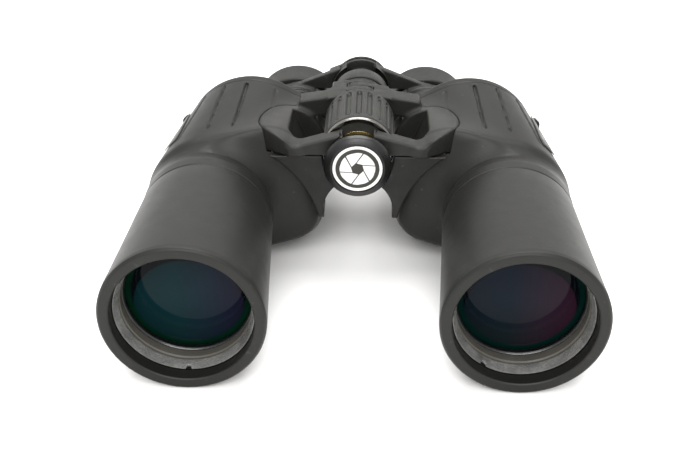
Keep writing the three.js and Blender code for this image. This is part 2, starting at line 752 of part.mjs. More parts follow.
function addOcular(half, side) {
  const front = 54.2;
  const rear = 79;
  const boreR = EYE_LENS_R + GAP;
  const lipR = EYE_LENS_R - 1.1;
  const barrel = turned(
    [
      [boreR, front],
      [OCULAR_R, front],
      [OCULAR_R, rear],
      [lipR, rear],
      [lipR, rear - 2],
      [boreR, rear - 2],
      [boreR, front],
    ],
    EYEPIECE,
    COARSE,
  );
  add(half, side + "_ocular_barrel", barrel, blackAnodised);
  const fieldLens = turned([[0, 55.8], [EYE_LENS_R, 57.5], [EYE_LENS_R, 61], [0, 62]], EYEPIECE, COARSE);
  add(half, side + "_field_lens", fieldLens, coatedGlass);
  const eyeLens = turned([[0, 70], [EYE_LENS_R, 71.5], [EYE_LENS_R, 75], [0, 76.5]], EYEPIECE, COARSE);
  add(half, side + "_eye_lens", eyeLens, coatedGlass);
}

function addEyecup(half, side) {
  const guideR = 15.6;
  const rear = EYECUP_REAR_Y;
  const guide = ring(OCULAR_R + GAP, guideR, EYECUP_Y - 0.2, rear - 4, EYEPIECE, COARSE);
  add(half, side + "_eyecup_guide", guide, blackAnodised);
  const cup = turned(
    [
      [guideR + GAP, EYECUP_Y],
      [EYECUP_R - 0.8, EYECUP_Y],
      [EYECUP_R, EYECUP_Y + 0.8],
      [EYECUP_R, rear - 1.8],
      [EYECUP_R - 0.6, rear - 0.5],
      [EYECUP_R - 1.8, rear],
      [15.2, rear],
      [13.2, rear - 3.6],
      [guideR + GAP, rear - 3.6],
      [guideR + GAP, EYECUP_Y],
    ],
    EYEPIECE,
  );
  add(half, side + "_eyecup", cup, armourRubber);
}

addHinge();
addTripodCap();
addFocusDrive();
for (const side of ["left", "right"]) {
  const half = new THREE.Group();
  half.scale.x = side === "left" ? 1 : -1;
  addObjective(half, side);
  addHousing(half, side);
  addPrisms(half, side);
  addEyepieceTube(half, side);
  addBridge(half, side);
  addOcular(half, side);
  addEyecup(half, side);
  binoculars.add(half);
}

export default binoculars;
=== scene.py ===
import math

import bpy
import numpy as np
from mathutils import Matrix, Vector


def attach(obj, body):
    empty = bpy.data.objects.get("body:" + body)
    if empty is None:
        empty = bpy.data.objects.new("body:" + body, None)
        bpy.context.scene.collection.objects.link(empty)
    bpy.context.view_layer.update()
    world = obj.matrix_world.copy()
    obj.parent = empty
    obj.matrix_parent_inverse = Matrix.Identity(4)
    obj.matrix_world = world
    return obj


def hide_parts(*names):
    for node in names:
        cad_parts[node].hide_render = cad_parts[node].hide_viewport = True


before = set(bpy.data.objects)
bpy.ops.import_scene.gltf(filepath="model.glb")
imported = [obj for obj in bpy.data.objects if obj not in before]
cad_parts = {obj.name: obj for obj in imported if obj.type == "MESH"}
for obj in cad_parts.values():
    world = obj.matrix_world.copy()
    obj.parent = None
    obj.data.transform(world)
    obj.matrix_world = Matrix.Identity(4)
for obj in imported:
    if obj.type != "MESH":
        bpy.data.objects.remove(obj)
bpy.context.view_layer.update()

# Full-size Porro-prism binoculars. All shapes below are in millimetres in the CAD frame and are
# scaled to metres when a mesh is made: X across, Y from objectives to eyepieces, Z up.
# The user's left half is drawn on the +X side; the right half is its mirror image.
MM = 0.001
SIDES = {"left": 1, "right": -1}

HINGE = (0.0, 57.0)
OBJECTIVE = (64.0, 32.0)
EYEPIECE = (31.0, 38.0)
GAP = 0.3
SLEEVE_REAR_R = 28.1
COVE_DEPTH = 2.8
SKIN = 2.5
KNUCKLE_R = 12.2
REAR_KNUCKLE_R = 12.3
CUP_GUIDE_R = 15.8
FLANGE_R = 19.4
CAST_SHARP = 50


# ---- meshes

def piece(name, points, faces, material, sharp=32):
    """A mesh object from points in millimetres, smooth between its sharp edges."""
    mesh = bpy.data.meshes.new(name)
    mesh.from_pydata((np.asarray(points, float) * MM).tolist(), [], faces)
    mesh.update()
    mesh.shade_smooth()
    mesh.set_sharp_from_angle(angle=math.radians(sharp))
    obj = bpy.data.objects.new(name, mesh)
    bpy.context.scene.collection.objects.link(obj)
    mesh.materials.append(material)
    return obj


def facing_out(points, faces):
    """The faces, turned round if they enclose a negative volume."""
    p = np.asarray(points, float)
    volume = 0.0
    for size in {len(f) for f in faces}:
        f = np.array([g for g in faces if len(g) == size])
        for k in range(1, size - 1):
            volume += np.einsum("ij,ij->i", p[f[:, 0]], np.cross(p[f[:, k]], p[f[:, k + 1]])).sum()
    return faces if volume > 0 else [tuple(reversed(f)) for f in faces]


def mirrored(points, faces, sign):
    """The same mesh on the other side of the hinge where sign is negative."""
    if sign > 0:
        return points, faces
    return points * np.array([-1.0, 1.0, 1.0]), [tuple(reversed(f)) for f in faces]


def filleted(profile, closed, arc_step=18):
    """A polyline of (r, y, fillet radius) corners with each corner rounded, as (r, y) points."""
    pts = [np.array(p[:2], float) for p in profile]
    fillets = [p[2] if len(p) > 2 else 0.0 for p in profile]
    out = []
    n = len(pts)
    for i in range(n):
        if fillets[i] <= 0 or (not closed and i in (0, n - 1)):
            out.append(pts[i])
            continue
        a, b = pts[i - 1] - pts[i], pts[(i + 1) % n] - pts[i]
        la, lb = np.linalg.norm(a), np.linalg.norm(b)
        a, b = a / la, b / lb
        bend = math.acos(np.clip(a @ b, -1, 1))
        if bend > math.pi - 0.05:
            out.append(pts[i])
            continue
        reach = min(fillets[i] / math.tan(bend / 2), 0.48 * la, 0.48 * lb)
        radius = reach * math.tan(bend / 2)
        centre = pts[i] + (a + b) / np.linalg.norm(a + b) * math.hypot(reach, radius)
        start, end = pts[i] + a * reach - centre, pts[i] + b * reach - centre
        turn = math.pi - bend
        steps = max(2, math.ceil(math.degrees(turn) / arc_step))
        for k in range(steps + 1):
            t = k / steps
            w0, w1 = math.sin((1 - t) * turn), math.sin(t * turn)
            out.append(centre + (start * w0 + end * w1) / math.sin(turn))
    return np.array(out)


def lathe(profile, axis, segments=128, closed=True, warp=None, arc_step=18):
    """A profile of (r, y, fillet) corners turned about the axis (x, z) along Y.
    warp(r, y, angle) may shift the points of the grid. Angle 0 points up."""
    prof = filleted(profile, closed, arc_step)
    rows = len(prof)
    angle = np.arange(segments) * 2 * math.pi / segments
    r = np.repeat(prof[:, :1], segments, 1)
    y = np.repeat(prof[:, 1:], segments, 1)
    a = np.repeat(angle[None, :], rows, 0)
    if warp:
        r, y = warp(r, y, a)
    pts = np.stack([axis[0] + r * np.sin(a), y, axis[1] + r * np.cos(a)], -1).reshape(-1, 3)
    faces = []
    last = rows if closed else rows - 1
    for i in range(last):
        j = (i + 1) % rows
        pole_i, pole_j = prof[i][0] < 1e-6, prof[j][0] < 1e-6
        if pole_i and pole_j:
            continue
        for k in range(segments):
            m = (k + 1) % segments
            if pole_i:
                faces.append((i * segments, j * segments + k, j * segments + m))
            elif pole_j:
                faces.append((i * segments + k, j * segments, i * segments + m))
            else:
                faces.append((i * segments + k, j * segments + k, j * segments + m, i * segments + m))
    used = np.unique(np.concatenate([np.ravel(f) for f in faces]))
    order = -np.ones(len(pts), int)
    order[used] = np.arange(len(used))
    faces = [tuple(order[list(f)].tolist()) for f in faces]
    pts = pts[used]
    return pts, facing_out(pts, faces)


def surface_net(field, lo, hi, step):
    """The zero surface of field(x, y, z), which is negative inside, as points and quads."""
    axes = [np.arange(a - step, b + 2 * step, step) for a, b in zip(lo, hi)]
    grid = np.meshgrid(*axes, indexing="ij")
    f = field(*grid)
    inside = f < 0
    nx, ny, nz = f.shape
    corners = [(i, j, k) for i in (0, 1) for j in (0, 1) for k in (0, 1)]
    count = sum(inside[i:nx - 1 + i, j:ny - 1 + j, k:nz - 1 + k].astype(np.int8) for i, j, k in corners)
    cells = np.argwhere((count > 0) & (count < 8))
    index = -np.ones((nx - 1, ny - 1, nz - 1), np.int64)
    index[tuple(cells.T)] = np.arange(len(cells))
    value = {c: f[tuple((cells + np.array(c)).T)] for c in corners}
    total = np.zeros((len(cells), 3))
    hits = np.zeros(len(cells))
    for a in corners:
        for axis in range(3):
            if a[axis]:
                continue
            b = tuple(v + (n == axis) for n, v in enumerate(a))
            cross = (value[a] < 0) != (value[b] < 0)
            t = np.where(cross, value[a] / np.where(cross, value[a] - value[b], 1), 0)
            spot = np.repeat(np.array(a, float)[None, :], len(cells), 0)
            spot[:, axis] += t
            total += spot * cross[:, None]
            hits += cross
    points = np.array([a[0] for a in axes]) + (cells + total / hits[:, None]) * step
    faces = []
    for axis in range(3):
        u, v = (axis + 1) % 3, (axis + 2) % 3
        head = [slice(None)] * 3
        tail = [slice(None)] * 3
        head[axis], tail[axis] = slice(0, -1), slice(1, None)
        edges = np.argwhere(inside[tuple(head)] != inside[tuple(tail)])
        edges = edges[(edges[:, u] > 0) & (edges[:, v] > 0)]
        leads = inside[tuple(edges.T)]
        ring = []
        for du, dv in ((1, 1), (0, 1), (0, 0), (1, 0)):
            cell = edges.copy()
            cell[:, u] -= du
            cell[:, v] -= dv
            ring.append(index[tuple(cell.T)])
        quad = np.stack(ring, 1)
        quad[~leads] = quad[~leads][:, ::-1]
        faces.append(quad)
    points = onto(field, points, step)
    return points, [tuple(q) for q in np.concatenate(faces).tolist()]


def onto(field, points, step, rounds=3):
    """Points moved along the slope of the field to where it is zero."""
    h = 0.05
    for _ in range(rounds):
        x, y, z = points.T
        slope = np.stack([
            field(x + h, y, z) - field(x - h, y, z),
            field(x, y + h, z) - field(x, y - h, z),
            field(x, y, z + h) - field(x, y, z - h),
        ], 1) / (2 * h)
        size = np.maximum((slope ** 2).sum(1), 0.05)
        move = -(field(x, y, z) / size)[:, None] * slope
        length = np.linalg.norm(move, axis=1, keepdims=True)
        points = points + move * np.minimum(1, 0.4 * step / np.maximum(length, 1e-9))
    return points


def thinned(obj, share):
    """The object with its mesh thinned to a share of its faces."""
    modifier = obj.modifiers.new("thin", "DECIMATE")
    modifier.ratio = share
    bpy.context.view_layer.update()
    graph = bpy.context.evaluated_depsgraph_get()
    made = bpy.data.meshes.new_from_object(obj.evaluated_get(graph))
    obj.modifiers.clear()
    old = obj.data
    obj.data = made
    bpy.data.meshes.remove(old)
    made.shade_smooth()
    made.set_sharp_from_angle(angle=math.radians(CAST_SHARP))
    return obj


# ---- distance fields

def f_disc(x, z, at, r):
    return np.hypot(x - at[0], z - at[1]) - r


def f_range(v, lo, hi):
    return np.abs(v - (lo + hi) / 2) - (hi - lo) / 2


def f_and(a, b, r=0.0):
    """Both solids, with the edge between them rounded to r."""
    if r <= 0:
        return np.maximum(a, b)
    return np.minimum(-r, np.maximum(a, b)) + np.hypot(np.maximum(a + r, 0), np.maximum(b + r, 0))


def f_or(a, b, r=0.0):
    """Either solid, with the corner between them filled to r."""
    return -f_and(-a, -b, r)


def f_less(a, b, r=0.0):
    return f_and(a, -b, r)


def f_capsule(x, z, a, ra, b, rb):
    """The outline round two circles."""
    px, pz = x - a[0], z - a[1]
    dx, dz = b[0] - a[0], b[1] - a[1]
    length = math.hypot(dx, dz)
    ux, uz = dx / length, dz / length
    along, across = px * ux + pz * uz, np.abs(px * -uz + pz * ux)
    s = (ra - rb) / length
    c = math.sqrt(1 - s * s)
    near = np.hypot(across, along) - ra
    far = np.hypot(across, along - length) - rb
    side = across * c + along * s - ra
    t = along * c - across * s
    return np.where(t < 0, near, np.where(t > length * c, far, side))


def f_polygon(x, z, corners):
    """Convex outline, corners in either order."""
    cx = sum(c[0] for c in corners) / len(corners)
    cz = sum(c[1] for c in corners) / len(corners)
    out = np.full(np.shape(x), -1e3)
    for (ax, az), (bx, bz) in zip(corners, corners[1:] + corners[:1]):
        nx, nz = bz - az, ax - bx
        length = math.hypot(nx, nz)
        nx, nz = nx / length, nz / length
        if (cx - ax) * nx + (cz - az) * nz > 0:
            nx, nz = -nx, -nz
        out = np.maximum(out, (x - ax) * nx + (z - az) * nz)
    return out


def f_ellipse(x, y, at, across, along):
    px, py = x - at[0], y - at[1]
    k0 = np.hypot(px / across, py / along)
    k1 = np.hypot(px / across ** 2, py / along ** 2)
    return k0 * (k0 - 1) / np.maximum(k1, 1e-6)


# ---- housing outline

FRONT_CIRCLES = np.array([[62, 32.5, 29.5], [40, 46, 20.5], [32, 16.5, 16.5]])
REAR_CIRCLES = np.array([[49.8, 38.4, 30.5], [30.5, 38.5, 20.5], [34, 16, 16]])
HOUSING_Y = (5.0, 53.0)
# The inner bulge's underside rises towards the front from CHAMFER_Y on.
CHAMFER_Y, CHAMFER_RISE = 22, 9
SKIN_Y0, SKIN_Y1, SKIN_DY = -18.0, 53.5, 0.5
TURNS = 1440


def skin_centre(y):
    """A point well inside the outline, for polar coordinates."""
    t = np.clip((y + 6) / 14, 0, 1)
    t = t * t * (3 - 2 * t)
    return 64 - 17 * t, 32 + 1.5 * t


def skin_table(inset, bare):
    """The outline's radius about skin_centre for each place along Y and each direction: the round
    end of the barrel, a cove behind it, and the outline round three circles from there on.
    `bare` leaves out the barrel, as the casting under the rubber does."""
    angle = np.arange(TURNS) * 2 * math.pi / TURNS
    nx, nz = np.cos(angle), np.sin(angle)
    ys = np.arange(SKIN_Y0, SKIN_Y1 + SKIN_DY / 2, SKIN_DY)
    table = np.zeros((len(ys), TURNS))
    for row, y in enumerate(ys):
        t = (y - HOUSING_Y[0]) / (HOUSING_Y[1] - HOUSING_Y[0])
        circles = FRONT_CIRCLES + (REAR_CIRCLES - FRONT_CIRCLES) * t
        lift = CHAMFER_RISE * np.clip((CHAMFER_Y - y) / (CHAMFER_Y - HOUSING_Y[0]), 0, 1)
        circles[2] += (-0.35 * lift, 0.62 * lift, -0.62 * lift)
        reach = circles[:, :1] * nx + circles[:, 1:2] * nz + circles[:, 2:]
        best = circles[reach.argmax(0)]
        wide = np.stack([best[:, 0] + (best[:, 2] - inset) * nx, best[:, 1] + (best[:, 2] - inset) * nz])
        spread = 1.0 if bare else np.interp(y, [-4, -0.5, 3.2, 5], [0, 0.3, 0.95, 1])
        cove = np.interp(y, [-12, -8, -4, -0.5, 2], [0, 0.6 * COVE_DEPTH, COVE_DEPTH, COVE_DEPTH, 0])
        r = SLEEVE_REAR_R - inset - cove * np.sqrt((1 - nx) / 2)
        ring = np.stack([OBJECTIVE[0] + r * nx, OBJECTIVE[1] + r * nz])
        p = ring + (wide - ring) * spread
        p = np.append(p, p[:, :1], 1)
        run = np.append(0, np.cumsum(np.hypot(*np.diff(p, axis=1))))
        even = np.linspace(0, run[-1], 4 * TURNS, endpoint=False)
        p = np.stack([np.interp(even, run, axis) for axis in p])
        cx, cz = skin_centre(y)
        polar = np.unwrap(np.arctan2(p[1] - cz, p[0] - cx))
        radius = np.hypot(p[1] - cz, p[0] - cx)
        order = np.argsort(polar)
        table[row] = np.interp(angle, polar[order], radius[order], period=2 * math.pi)
    return softened(table, 0.6, 5)


def softened(table, rows, turns):
    """The table blurred by a few rows and directions, which rounds off creases."""
    for axis, width in ((0, rows), (1, turns)):
        reach = int(3 * width) + 1
        k = np.arange(-reach, reach + 1)
        weight = np.exp(-0.5 * (k / width) ** 2)
        weight /= weight.sum()
        mode = "edge" if axis == 0 else "wrap"
        pad = [(reach, reach) if a == axis else (0, 0) for a in (0, 1)]
        wide = np.pad(table, pad, mode=mode)
        size = table.shape[axis]
        table = sum(w * np.take(wide, range(i, i + size), axis) for i, w in enumerate(weight))
    return table


def looked_up(table, y, angle):
    """The table's radius at places between its rows and directions."""
    row = np.clip((y - SKIN_Y0) / SKIN_DY, 0, table.shape[0] - 1.001)
    col = (angle / (2 * math.pi) * TURNS) % TURNS
    i, j = row.astype(int), col.astype(int)
    fr, fc = row - i, col - j
    j2 = (j + 1) % TURNS
    near = table[i, j] * (1 - fc) + table[i, j2] * fc
    far = table[i + 1, j] * (1 - fc) + table[i + 1, j2] * fc
    return near * (1 - fr) + far * fr


OUTER = skin_table(0.0, False)
CASTING = skin_table(SKIN + GAP, True)
PLATE = skin_table(0.0, True)


def skin_point(table, y, angle, inset=0.0):
    """A point on the skin, moved inwards by `inset` along the radius."""
    cx, cz = skin_centre(y)
    r = looked_up(table, y, angle) - inset
    return np.stack([cx + r * np.cos(angle), y, cz + r * np.sin(angle)], -1)


def f_skin(table, x, y, z):
    cx, cz = skin_centre(y)
    return np.hypot(x - cx, z - cz) - looked_up(table, y, np.arctan2(z - cz, x - cx))


# ---- frame left uncovered by the rubber

LOBE = (27.0, 15.0)
ARM_UNDER_Z = 57.7
APRON_EDGE, APRON_EDGE_R = (64.5, 17.0), 48.5
ARCH, ARCH_R = (-1.0, 31.0), 16.0
APRON_BACK_Y = 9.0
APRON_BORE_R = 15.1
APRON_X, APRON_FOOT_Z = (5, 42), 27.5
INNER_X = 27
REAR_ARM_Y = (33.3, 42)
POCKET_Y = (3, 31.5)


def f_lobe(x, y):
    return f_ellipse(x, y, LOBE, 16, 21)


def f_block(x, y):
    """The inner side of the housing, from ahead of it to behind the rear arm."""
    return f_and(x - INNER_X, f_range(y, -10, REAR_ARM_Y[1]))


def f_apron(x, y, z, y0, y1, fillet=0.0):
    """The plate between the hinge and the rubber, with the arch over the table below the hinge."""
    edge = f_and(-f_disc(x, z, APRON_EDGE, APRON_EDGE_R), -f_disc(x, z, ARCH, ARCH_R), fillet)
    edge = f_and(edge, -f_disc(x, z, HINGE, APRON_BORE_R), fillet)
    sheet = f_and(f_range(x, *APRON_X), f_range(z, APRON_FOOT_Z, ARM_UNDER_Z - GAP))
    return f_and(f_and(edge, sheet, fillet), f_range(y, y0, y1), fillet)


def f_bare(x, y, z):
    """The room that the rubber leaves free."""
    lobe = f_and(f_lobe(x, y), 57.2 - z)
    block = f_and(f_block(x, y), 48 - z)
    rim = f_and(f_or(f_lobe(x, y), f_block(x, y), 4.0), 57.4 - z)
    return f_or(f_or(rim, f_or(lobe, block)), f_apron(x, y, z, -10, APRON_BACK_Y))


def f_pocket(x, y, z):
    """The finger pocket beside the focus wheel: a sharp rear edge and a rounded front one."""
    outline = f_polygon(x, z, [(2, 90), (33, 90), (29.5, 60), (24, 47), (2, 47)])
    room = f_and(outline, POCKET_Y[0] - y, 6.0)
    return f_and(room, y - POCKET_Y[1], 1.0)


# ---- materials

class Look:
    """A material with short ways to add nodes to it. Its patterns lie in the object's own frame."""

    def __init__(self, name):
        self.material = bpy.data.materials.new(name)
        self.material.use_nodes = True
        self.nodes, self.links = self.material.node_tree.nodes, self.material.node_tree.links
        self.shader = self.nodes["Principled BSDF"]
        self.coords = self.nodes.new("ShaderNodeTexCoord").outputs["Object"]

    def ramp(self, source, *points):
        """A value turned into a grey or a colour by (place, grey or colour) points."""
        node = self.nodes.new("ShaderNodeValToRGB")
        elements = node.color_ramp.elements
        while len(elements) > 1:
            elements.remove(elements[-1])
        for i, (at, value) in enumerate(points):
            element = elements[0] if i == 0 else elements.new(at)
            element.position = at
            element.color = (*value, 1) if isinstance(value, tuple) else (value, value, value, 1)
        self.links.new(source, node.inputs["Fac"])
        return node.outputs["Color"]

    def noise(self, scale, detail=3.0, rough=0.55, stretch=None):
        node = self.nodes.new("ShaderNodeTexNoise")
        node.inputs["Scale"].default_value = scale
        node.inputs["Detail"].default_value = detail
        node.inputs["Roughness"].default_value = rough
        source = self.coords
        if stretch:
            mapping = self.nodes.new("ShaderNodeMapping")
            mapping.inputs["Scale"].default_value = stretch
            self.links.new(source, mapping.inputs["Vector"])
            source = mapping.outputs["Vector"]
        self.links.new(source, node.inputs["Vector"])
        return node.outputs["Fac"]

    def mixed(self, factor, a, b, blend="MIX"):
        """Colour a turning to colour b; each is a colour or a socket, and factor a number or a socket."""
        node = self.nodes.new("ShaderNodeMix")
        node.data_type = "RGBA"
        node.blend_type = blend
        for socket, value in (("Factor", factor), ("A", a), ("B", b)):
            target = next(s for s in node.inputs
                          if s.name == socket and (s.type == "RGBA" or socket == "Factor"))
            if isinstance(value, bpy.types.NodeSocket):
                self.links.new(value, target)
            elif socket == "Factor":
                target.default_value = value
            else:
                target.default_value = (*value, 1)
        return next(s for s in node.outputs if s.type == "RGBA")

    def maths(self, operation, a, b):
        """Two values put together; b is a number or a socket."""
        node = self.nodes.new("ShaderNodeMath")
        node.operation = operation
        self.links.new(a, node.inputs[0])
        if isinstance(b, bpy.types.NodeSocket):
            self.links.new(b, node.inputs[1])
        else:
            node.inputs[1].default_value = b
        return node.outputs[0]

    def step(self, source, lo, hi):
        """0 up to lo, 1 from hi on, and a straight line between them."""
        node = self.nodes.new("ShaderNodeMapRange")
        node.inputs["From Min"].default_value = lo
        node.inputs["From Max"].default_value = hi
        self.links.new(source, node.inputs["Value"])
        return node.outputs[0]

    def distance(self, source, centre):
        node = self.nodes.new("ShaderNodeVectorMath")
        node.operation = "DISTANCE"
        node.inputs[1].default_value = centre
        self.links.new(source, node.inputs[0])
        return node.outputs["Value"]

    def bump(self, height, strength, distance, normal=None):
        node = self.nodes.new("ShaderNodeBump")
        node.inputs["Strength"].default_value = strength
        node.inputs["Distance"].default_value = distance
        self.links.new(height, node.inputs["Height"])
        if normal:
            self.links.new(normal, node.inputs["Normal"])
        return node.outputs["Normal"]

    def feed(self, socket, source):
        self.links.new(source, self.shader.inputs[socket])


def material(name, dark, light, rough, metallic=0.0, grain=(900, 0.25), pebble=None, brushed=None,
             wear=None, dust=0.0, coat=0.0, sheen=0.0, specular=0.5, rough_spread=0.12):
    """A surface with colour patches, fine grain, worn edges and uneven gloss.
    grain is (features per metre, bump), pebble the same for a moulded leather grain,
    brushed a stretch for turning marks, and wear a colour and an amount for edges."""
    look = Look(name)
    cloud = look.ramp(look.noise(70, 5, 0.6), (0.3, 0.0), (0.7, 1.0))
    colour = look.mixed(cloud, dark, light)
    fine = look.noise(grain[0], 2.5, 0.6, brushed)
    colour = look.mixed(0.5, colour, look.ramp(fine, (0.35, 0.75), (0.65, 1.25)), "MULTIPLY")
    if wear:
        edge = look.nodes.new("ShaderNodeNewGeometry").outputs["Pointiness"]
        edge = look.ramp(edge, (0.53, 0.0), (0.62, 1.0))
        patchy = look.ramp(look.noise(260, 4), (0.4, 0.2), (0.62, wear[1]))
        colour = look.mixed(look.maths("MULTIPLY", edge, patchy), colour, wear[0])
    if dust:
        spots = look.ramp(look.noise(420, 1.5, 0.7), (0.71, 0.0), (0.78, dust))
        colour = look.mixed(spots, colour, DUST)
    look.feed("Base Color", colour)
    gloss = (0.25, max(rough - rough_spread, 0.02)), (0.75, min(rough + rough_spread, 1.0))
    look.feed("Roughness", look.ramp(look.noise(150, 4, 0.6), *gloss))
    relief = look.bump(fine, grain[1], 0.0002)
    if pebble:
        cells = look.nodes.new("ShaderNodeTexVoronoi")
        cells.feature = "SMOOTH_F1"
        cells.inputs["Scale"].default_value = pebble[0]
        look.links.new(look.coords, cells.inputs["Vector"])
        relief = look.bump(cells.outputs["Distance"], pebble[1], 0.0003, relief)
    look.feed("Normal", relief)
    look.shader.inputs["Metallic"].default_value = metallic
    look.shader.inputs["Specular IOR Level"].default_value = specular
    look.shader.inputs["Coat Weight"].default_value = coat
    look.shader.inputs["Coat Roughness"].default_value = 0.12
    look.shader.inputs["Sheen Weight"].default_value = sheen
    look.shader.inputs["Sheen Roughness"].default_value = 0.5
    return look.material


WORN = ((0.050, 0.049, 0.044), 0.5)
DUST = (0.11, 0.105, 0.095)
rubber = material("armour_rubber", (0.0090, 0.0090, 0.0079), (0.0108, 0.0107, 0.0094), 0.43,
                  grain=(2600, 0.25), pebble=(1900, 0.10), wear=WORN, dust=0.2, sheen=0.01, specular=0.24,
                  rough_spread=0.035)
cup_rubber = material("eyecup_rubber", (0.0105, 0.0105, 0.0094), (0.0130, 0.0128, 0.0114), 0.50,
                      grain=(2200, 0.30), wear=WORN, dust=0.3, sheen=0.01, specular=0.24, rough_spread=0.05)
wheel_rubber = material("wheel_rubber", (0.0150, 0.0150, 0.0135), (0.0205, 0.0203, 0.0182), 0.45,
                        grain=(2400, 0.28), wear=WORN, dust=0.2, sheen=0.01, specular=0.26,
                        rough_spread=0.05)
satin = material("frame_satin", (0.0125, 0.0125, 0.0110), (0.0145, 0.0143, 0.0127), 0.42,
                 grain=(3200, 0.30), wear=WORN, dust=0.12, specular=0.26, rough_spread=0.05)
cap_satin = material("cap_satin", (0.0040, 0.0040, 0.0039), (0.0065, 0.0065, 0.0062), 0.34,
                     grain=(3000, 0.2), wear=WORN, dust=0.1, specular=0.40)
cover_satin = material("cover_satin", (0.0052, 0.0051, 0.0045), (0.0076, 0.0074, 0.0066), 0.48,
                       grain=(3200, 0.4), wear=WORN, dust=0.25, specular=0.30)
anodised = material("black_anodised", (0.0030, 0.0030, 0.0033), (0.0065, 0.0065, 0.0070), 0.42,
                    metallic=0.2, grain=(1500, 0.2), brushed=(1, 14, 1), specular=0.35)
# Painted sheen: the gloss black retaining ring is coloured grey to stand for the light it reflects; its fine
# speckle is real.
speckled_painted_sheen = material("gloss_black", (0.060, 0.060, 0.057), (0.200, 0.198, 0.190), 0.30,
                    grain=(1300, 0.9), pebble=(1500, 0.6), coat=0.25, rough_spread=0.18)
spindle_black = material("black_spindle", (0.0025, 0.0025, 0.0028), (0.0050, 0.0050, 0.0055), 0.20,
                         grain=(1200, 0.15), brushed=(1, 20, 1), coat=0.3)
steel = material("steel", (0.30, 0.30, 0.31), (0.42, 0.42, 0.43), 0.30, metallic=1.0,
                 grain=(1400, 0.2), brushed=(1, 16, 1))
spring_steel = material("spring_steel", (0.36, 0.36, 0.37), (0.46, 0.46, 0.46), 0.26, metallic=1.0,
                        grain=(1600, 0.2), brushed=(12, 1, 1))
chrome = material("chrome_trim", (0.16, 0.155, 0.145), (0.26, 0.25, 0.235), 0.20, metallic=1.0,
                  grain=(900, 0.1), rough_spread=0.06)
brass = material("brass", (0.42, 0.30, 0.11), (0.56, 0.42, 0.17), 0.28, metallic=1.0,
                 grain=(1500, 0.2), brushed=(1, 14, 1))
badge_grey = material("badge_grey", (0.040, 0.040, 0.037), (0.060, 0.060, 0.055), 0.38, metallic=0.5,
                      grain=(2600, 0.3), brushed=(1, 10, 1), wear=WORN)
white_paint = material("emblem_white", (0.66, 0.66, 0.64), (0.74, 0.74, 0.72), 0.40,
                       grain=(2200, 0.12), rough_spread=0.08)
emblem_dark = material("emblem_dark", (0.026, 0.025, 0.021), (0.034, 0.032, 0.027), 0.45, grain=(2400, 0.25),
                       specular=0.3)
shelf_black = material("shelf_black", (0.004, 0.004, 0.004), (0.008, 0.008, 0.008), 0.7, grain=(1800, 0.3))
tan_ring = material("lacquered_ring", (0.060, 0.056, 0.047), (0.085, 0.079, 0.067), 0.42, grain=(2400, 0.3),
                    specular=0.3)


def coated_glass(name, inner, tint, side_reflection, rim, axis):
    """Multi-coated front lens about an axis (x, z): dark glass with a painted reflection whose colour
    drifts across it, painted shade in a dark band along the top, and a green rim."""
    look = Look(name)
    local = look.nodes.new("ShaderNodeMapping")
    local.inputs["Location"].default_value = (-axis[0] * MM, 0, -axis[1] * MM)
    look.links.new(look.coords, local.inputs["Vector"])
    parts = look.nodes.new("ShaderNodeSeparateXYZ")
    look.links.new(local.outputs["Vector"], parts.inputs[0])
    flat = look.nodes.new("ShaderNodeCombineXYZ")
    look.links.new(parts.outputs["X"], flat.inputs["X"])
    look.links.new(parts.outputs["Z"], flat.inputs["Z"])
    # Painted reflection: the base colour turns from one reflection colour low on the glass to another high
    # on it, and to a third along X.
    colour = look.mixed(look.step(parts.outputs["Z"], -0.018, 0.010), tint, inner)
    colour = look.mixed(look.step(parts.outputs["X"], -0.004, 0.024), colour, side_reflection)
    haze = look.ramp(look.noise(45, 2), (0.3, 0.85), (0.7, 1.15))
    colour = look.mixed(0.6, colour, haze, "MULTIPLY")
    # Painted shade: a near-black curved band along the top of the glass.
    top_shade = look.step(look.distance(flat.outputs[0], (0, 0, -0.0055)), 0.0212, 0.0218)
    colour = look.mixed(top_shade, colour, (0.0012, 0.0020, 0.0030))
    edge = look.step(look.distance(flat.outputs[0], (0, 0, 0)), 0.0218, 0.0226)
    look.feed("Base Color", look.mixed(edge, colour, rim))
    look.feed("Roughness", look.ramp(look.noise(90, 4), (0.35, 0.03), (0.8, 0.10)))
    look.shader.inputs["Specular IOR Level"].default_value = 0.07
    return look.material


# The two lenses carry different painted reflection colours; the last colour is the green rim.
glass_left = coated_glass("coated_glass_left", (0.0025, 0.0060, 0.0130), (0.0045, 0.0080, 0.0095),
                          (0.020, 0.0060, 0.0140), (0.0006, 0.0100, 0.0080), OBJECTIVE)
glass_right = coated_glass("coated_glass_right", (0.0016, 0.0125, 0.0160), (0.0025, 0.0130, 0.0150),
                           (0.0070, 0.0050, 0.0160), (0.0006, 0.0120, 0.0060), (-OBJECTIVE[0], OBJECTIVE[1]))


def clear_glass(name, tint, rough):
    look = Look(name)
    look.feed("Base Color", look.ramp(look.noise(60, 3), (0.3, tuple(0.93 * c for c in tint)), (0.7, tint)))
    look.feed("Roughness", look.ramp(look.noise(120, 4), (0.35, rough), (0.8, rough + 0.06)))
    look.shader.inputs["Transmission Weight"].default_value = 0.9
    look.shader.inputs["IOR"].default_value = 1.52
    return look.material


prism_glass = clear_glass("prism_glass", (0.80, 0.88, 0.86), 0.02)
lens_glass = clear_glass("lens_glass", (0.42, 0.55, 0.62), 0.02)

# ---- camera, floor and light

CAMERA_AT = Vector((9.0, -442.0, 286.8)) * MM
PITCH, YAW, ROLL = math.radians(31.29), math.radians(-1.63), math.radians(-0.12)
FOCAL_PX, IMAGE_WIDTH, SENSOR = 1168.0, 700.0, 36.0


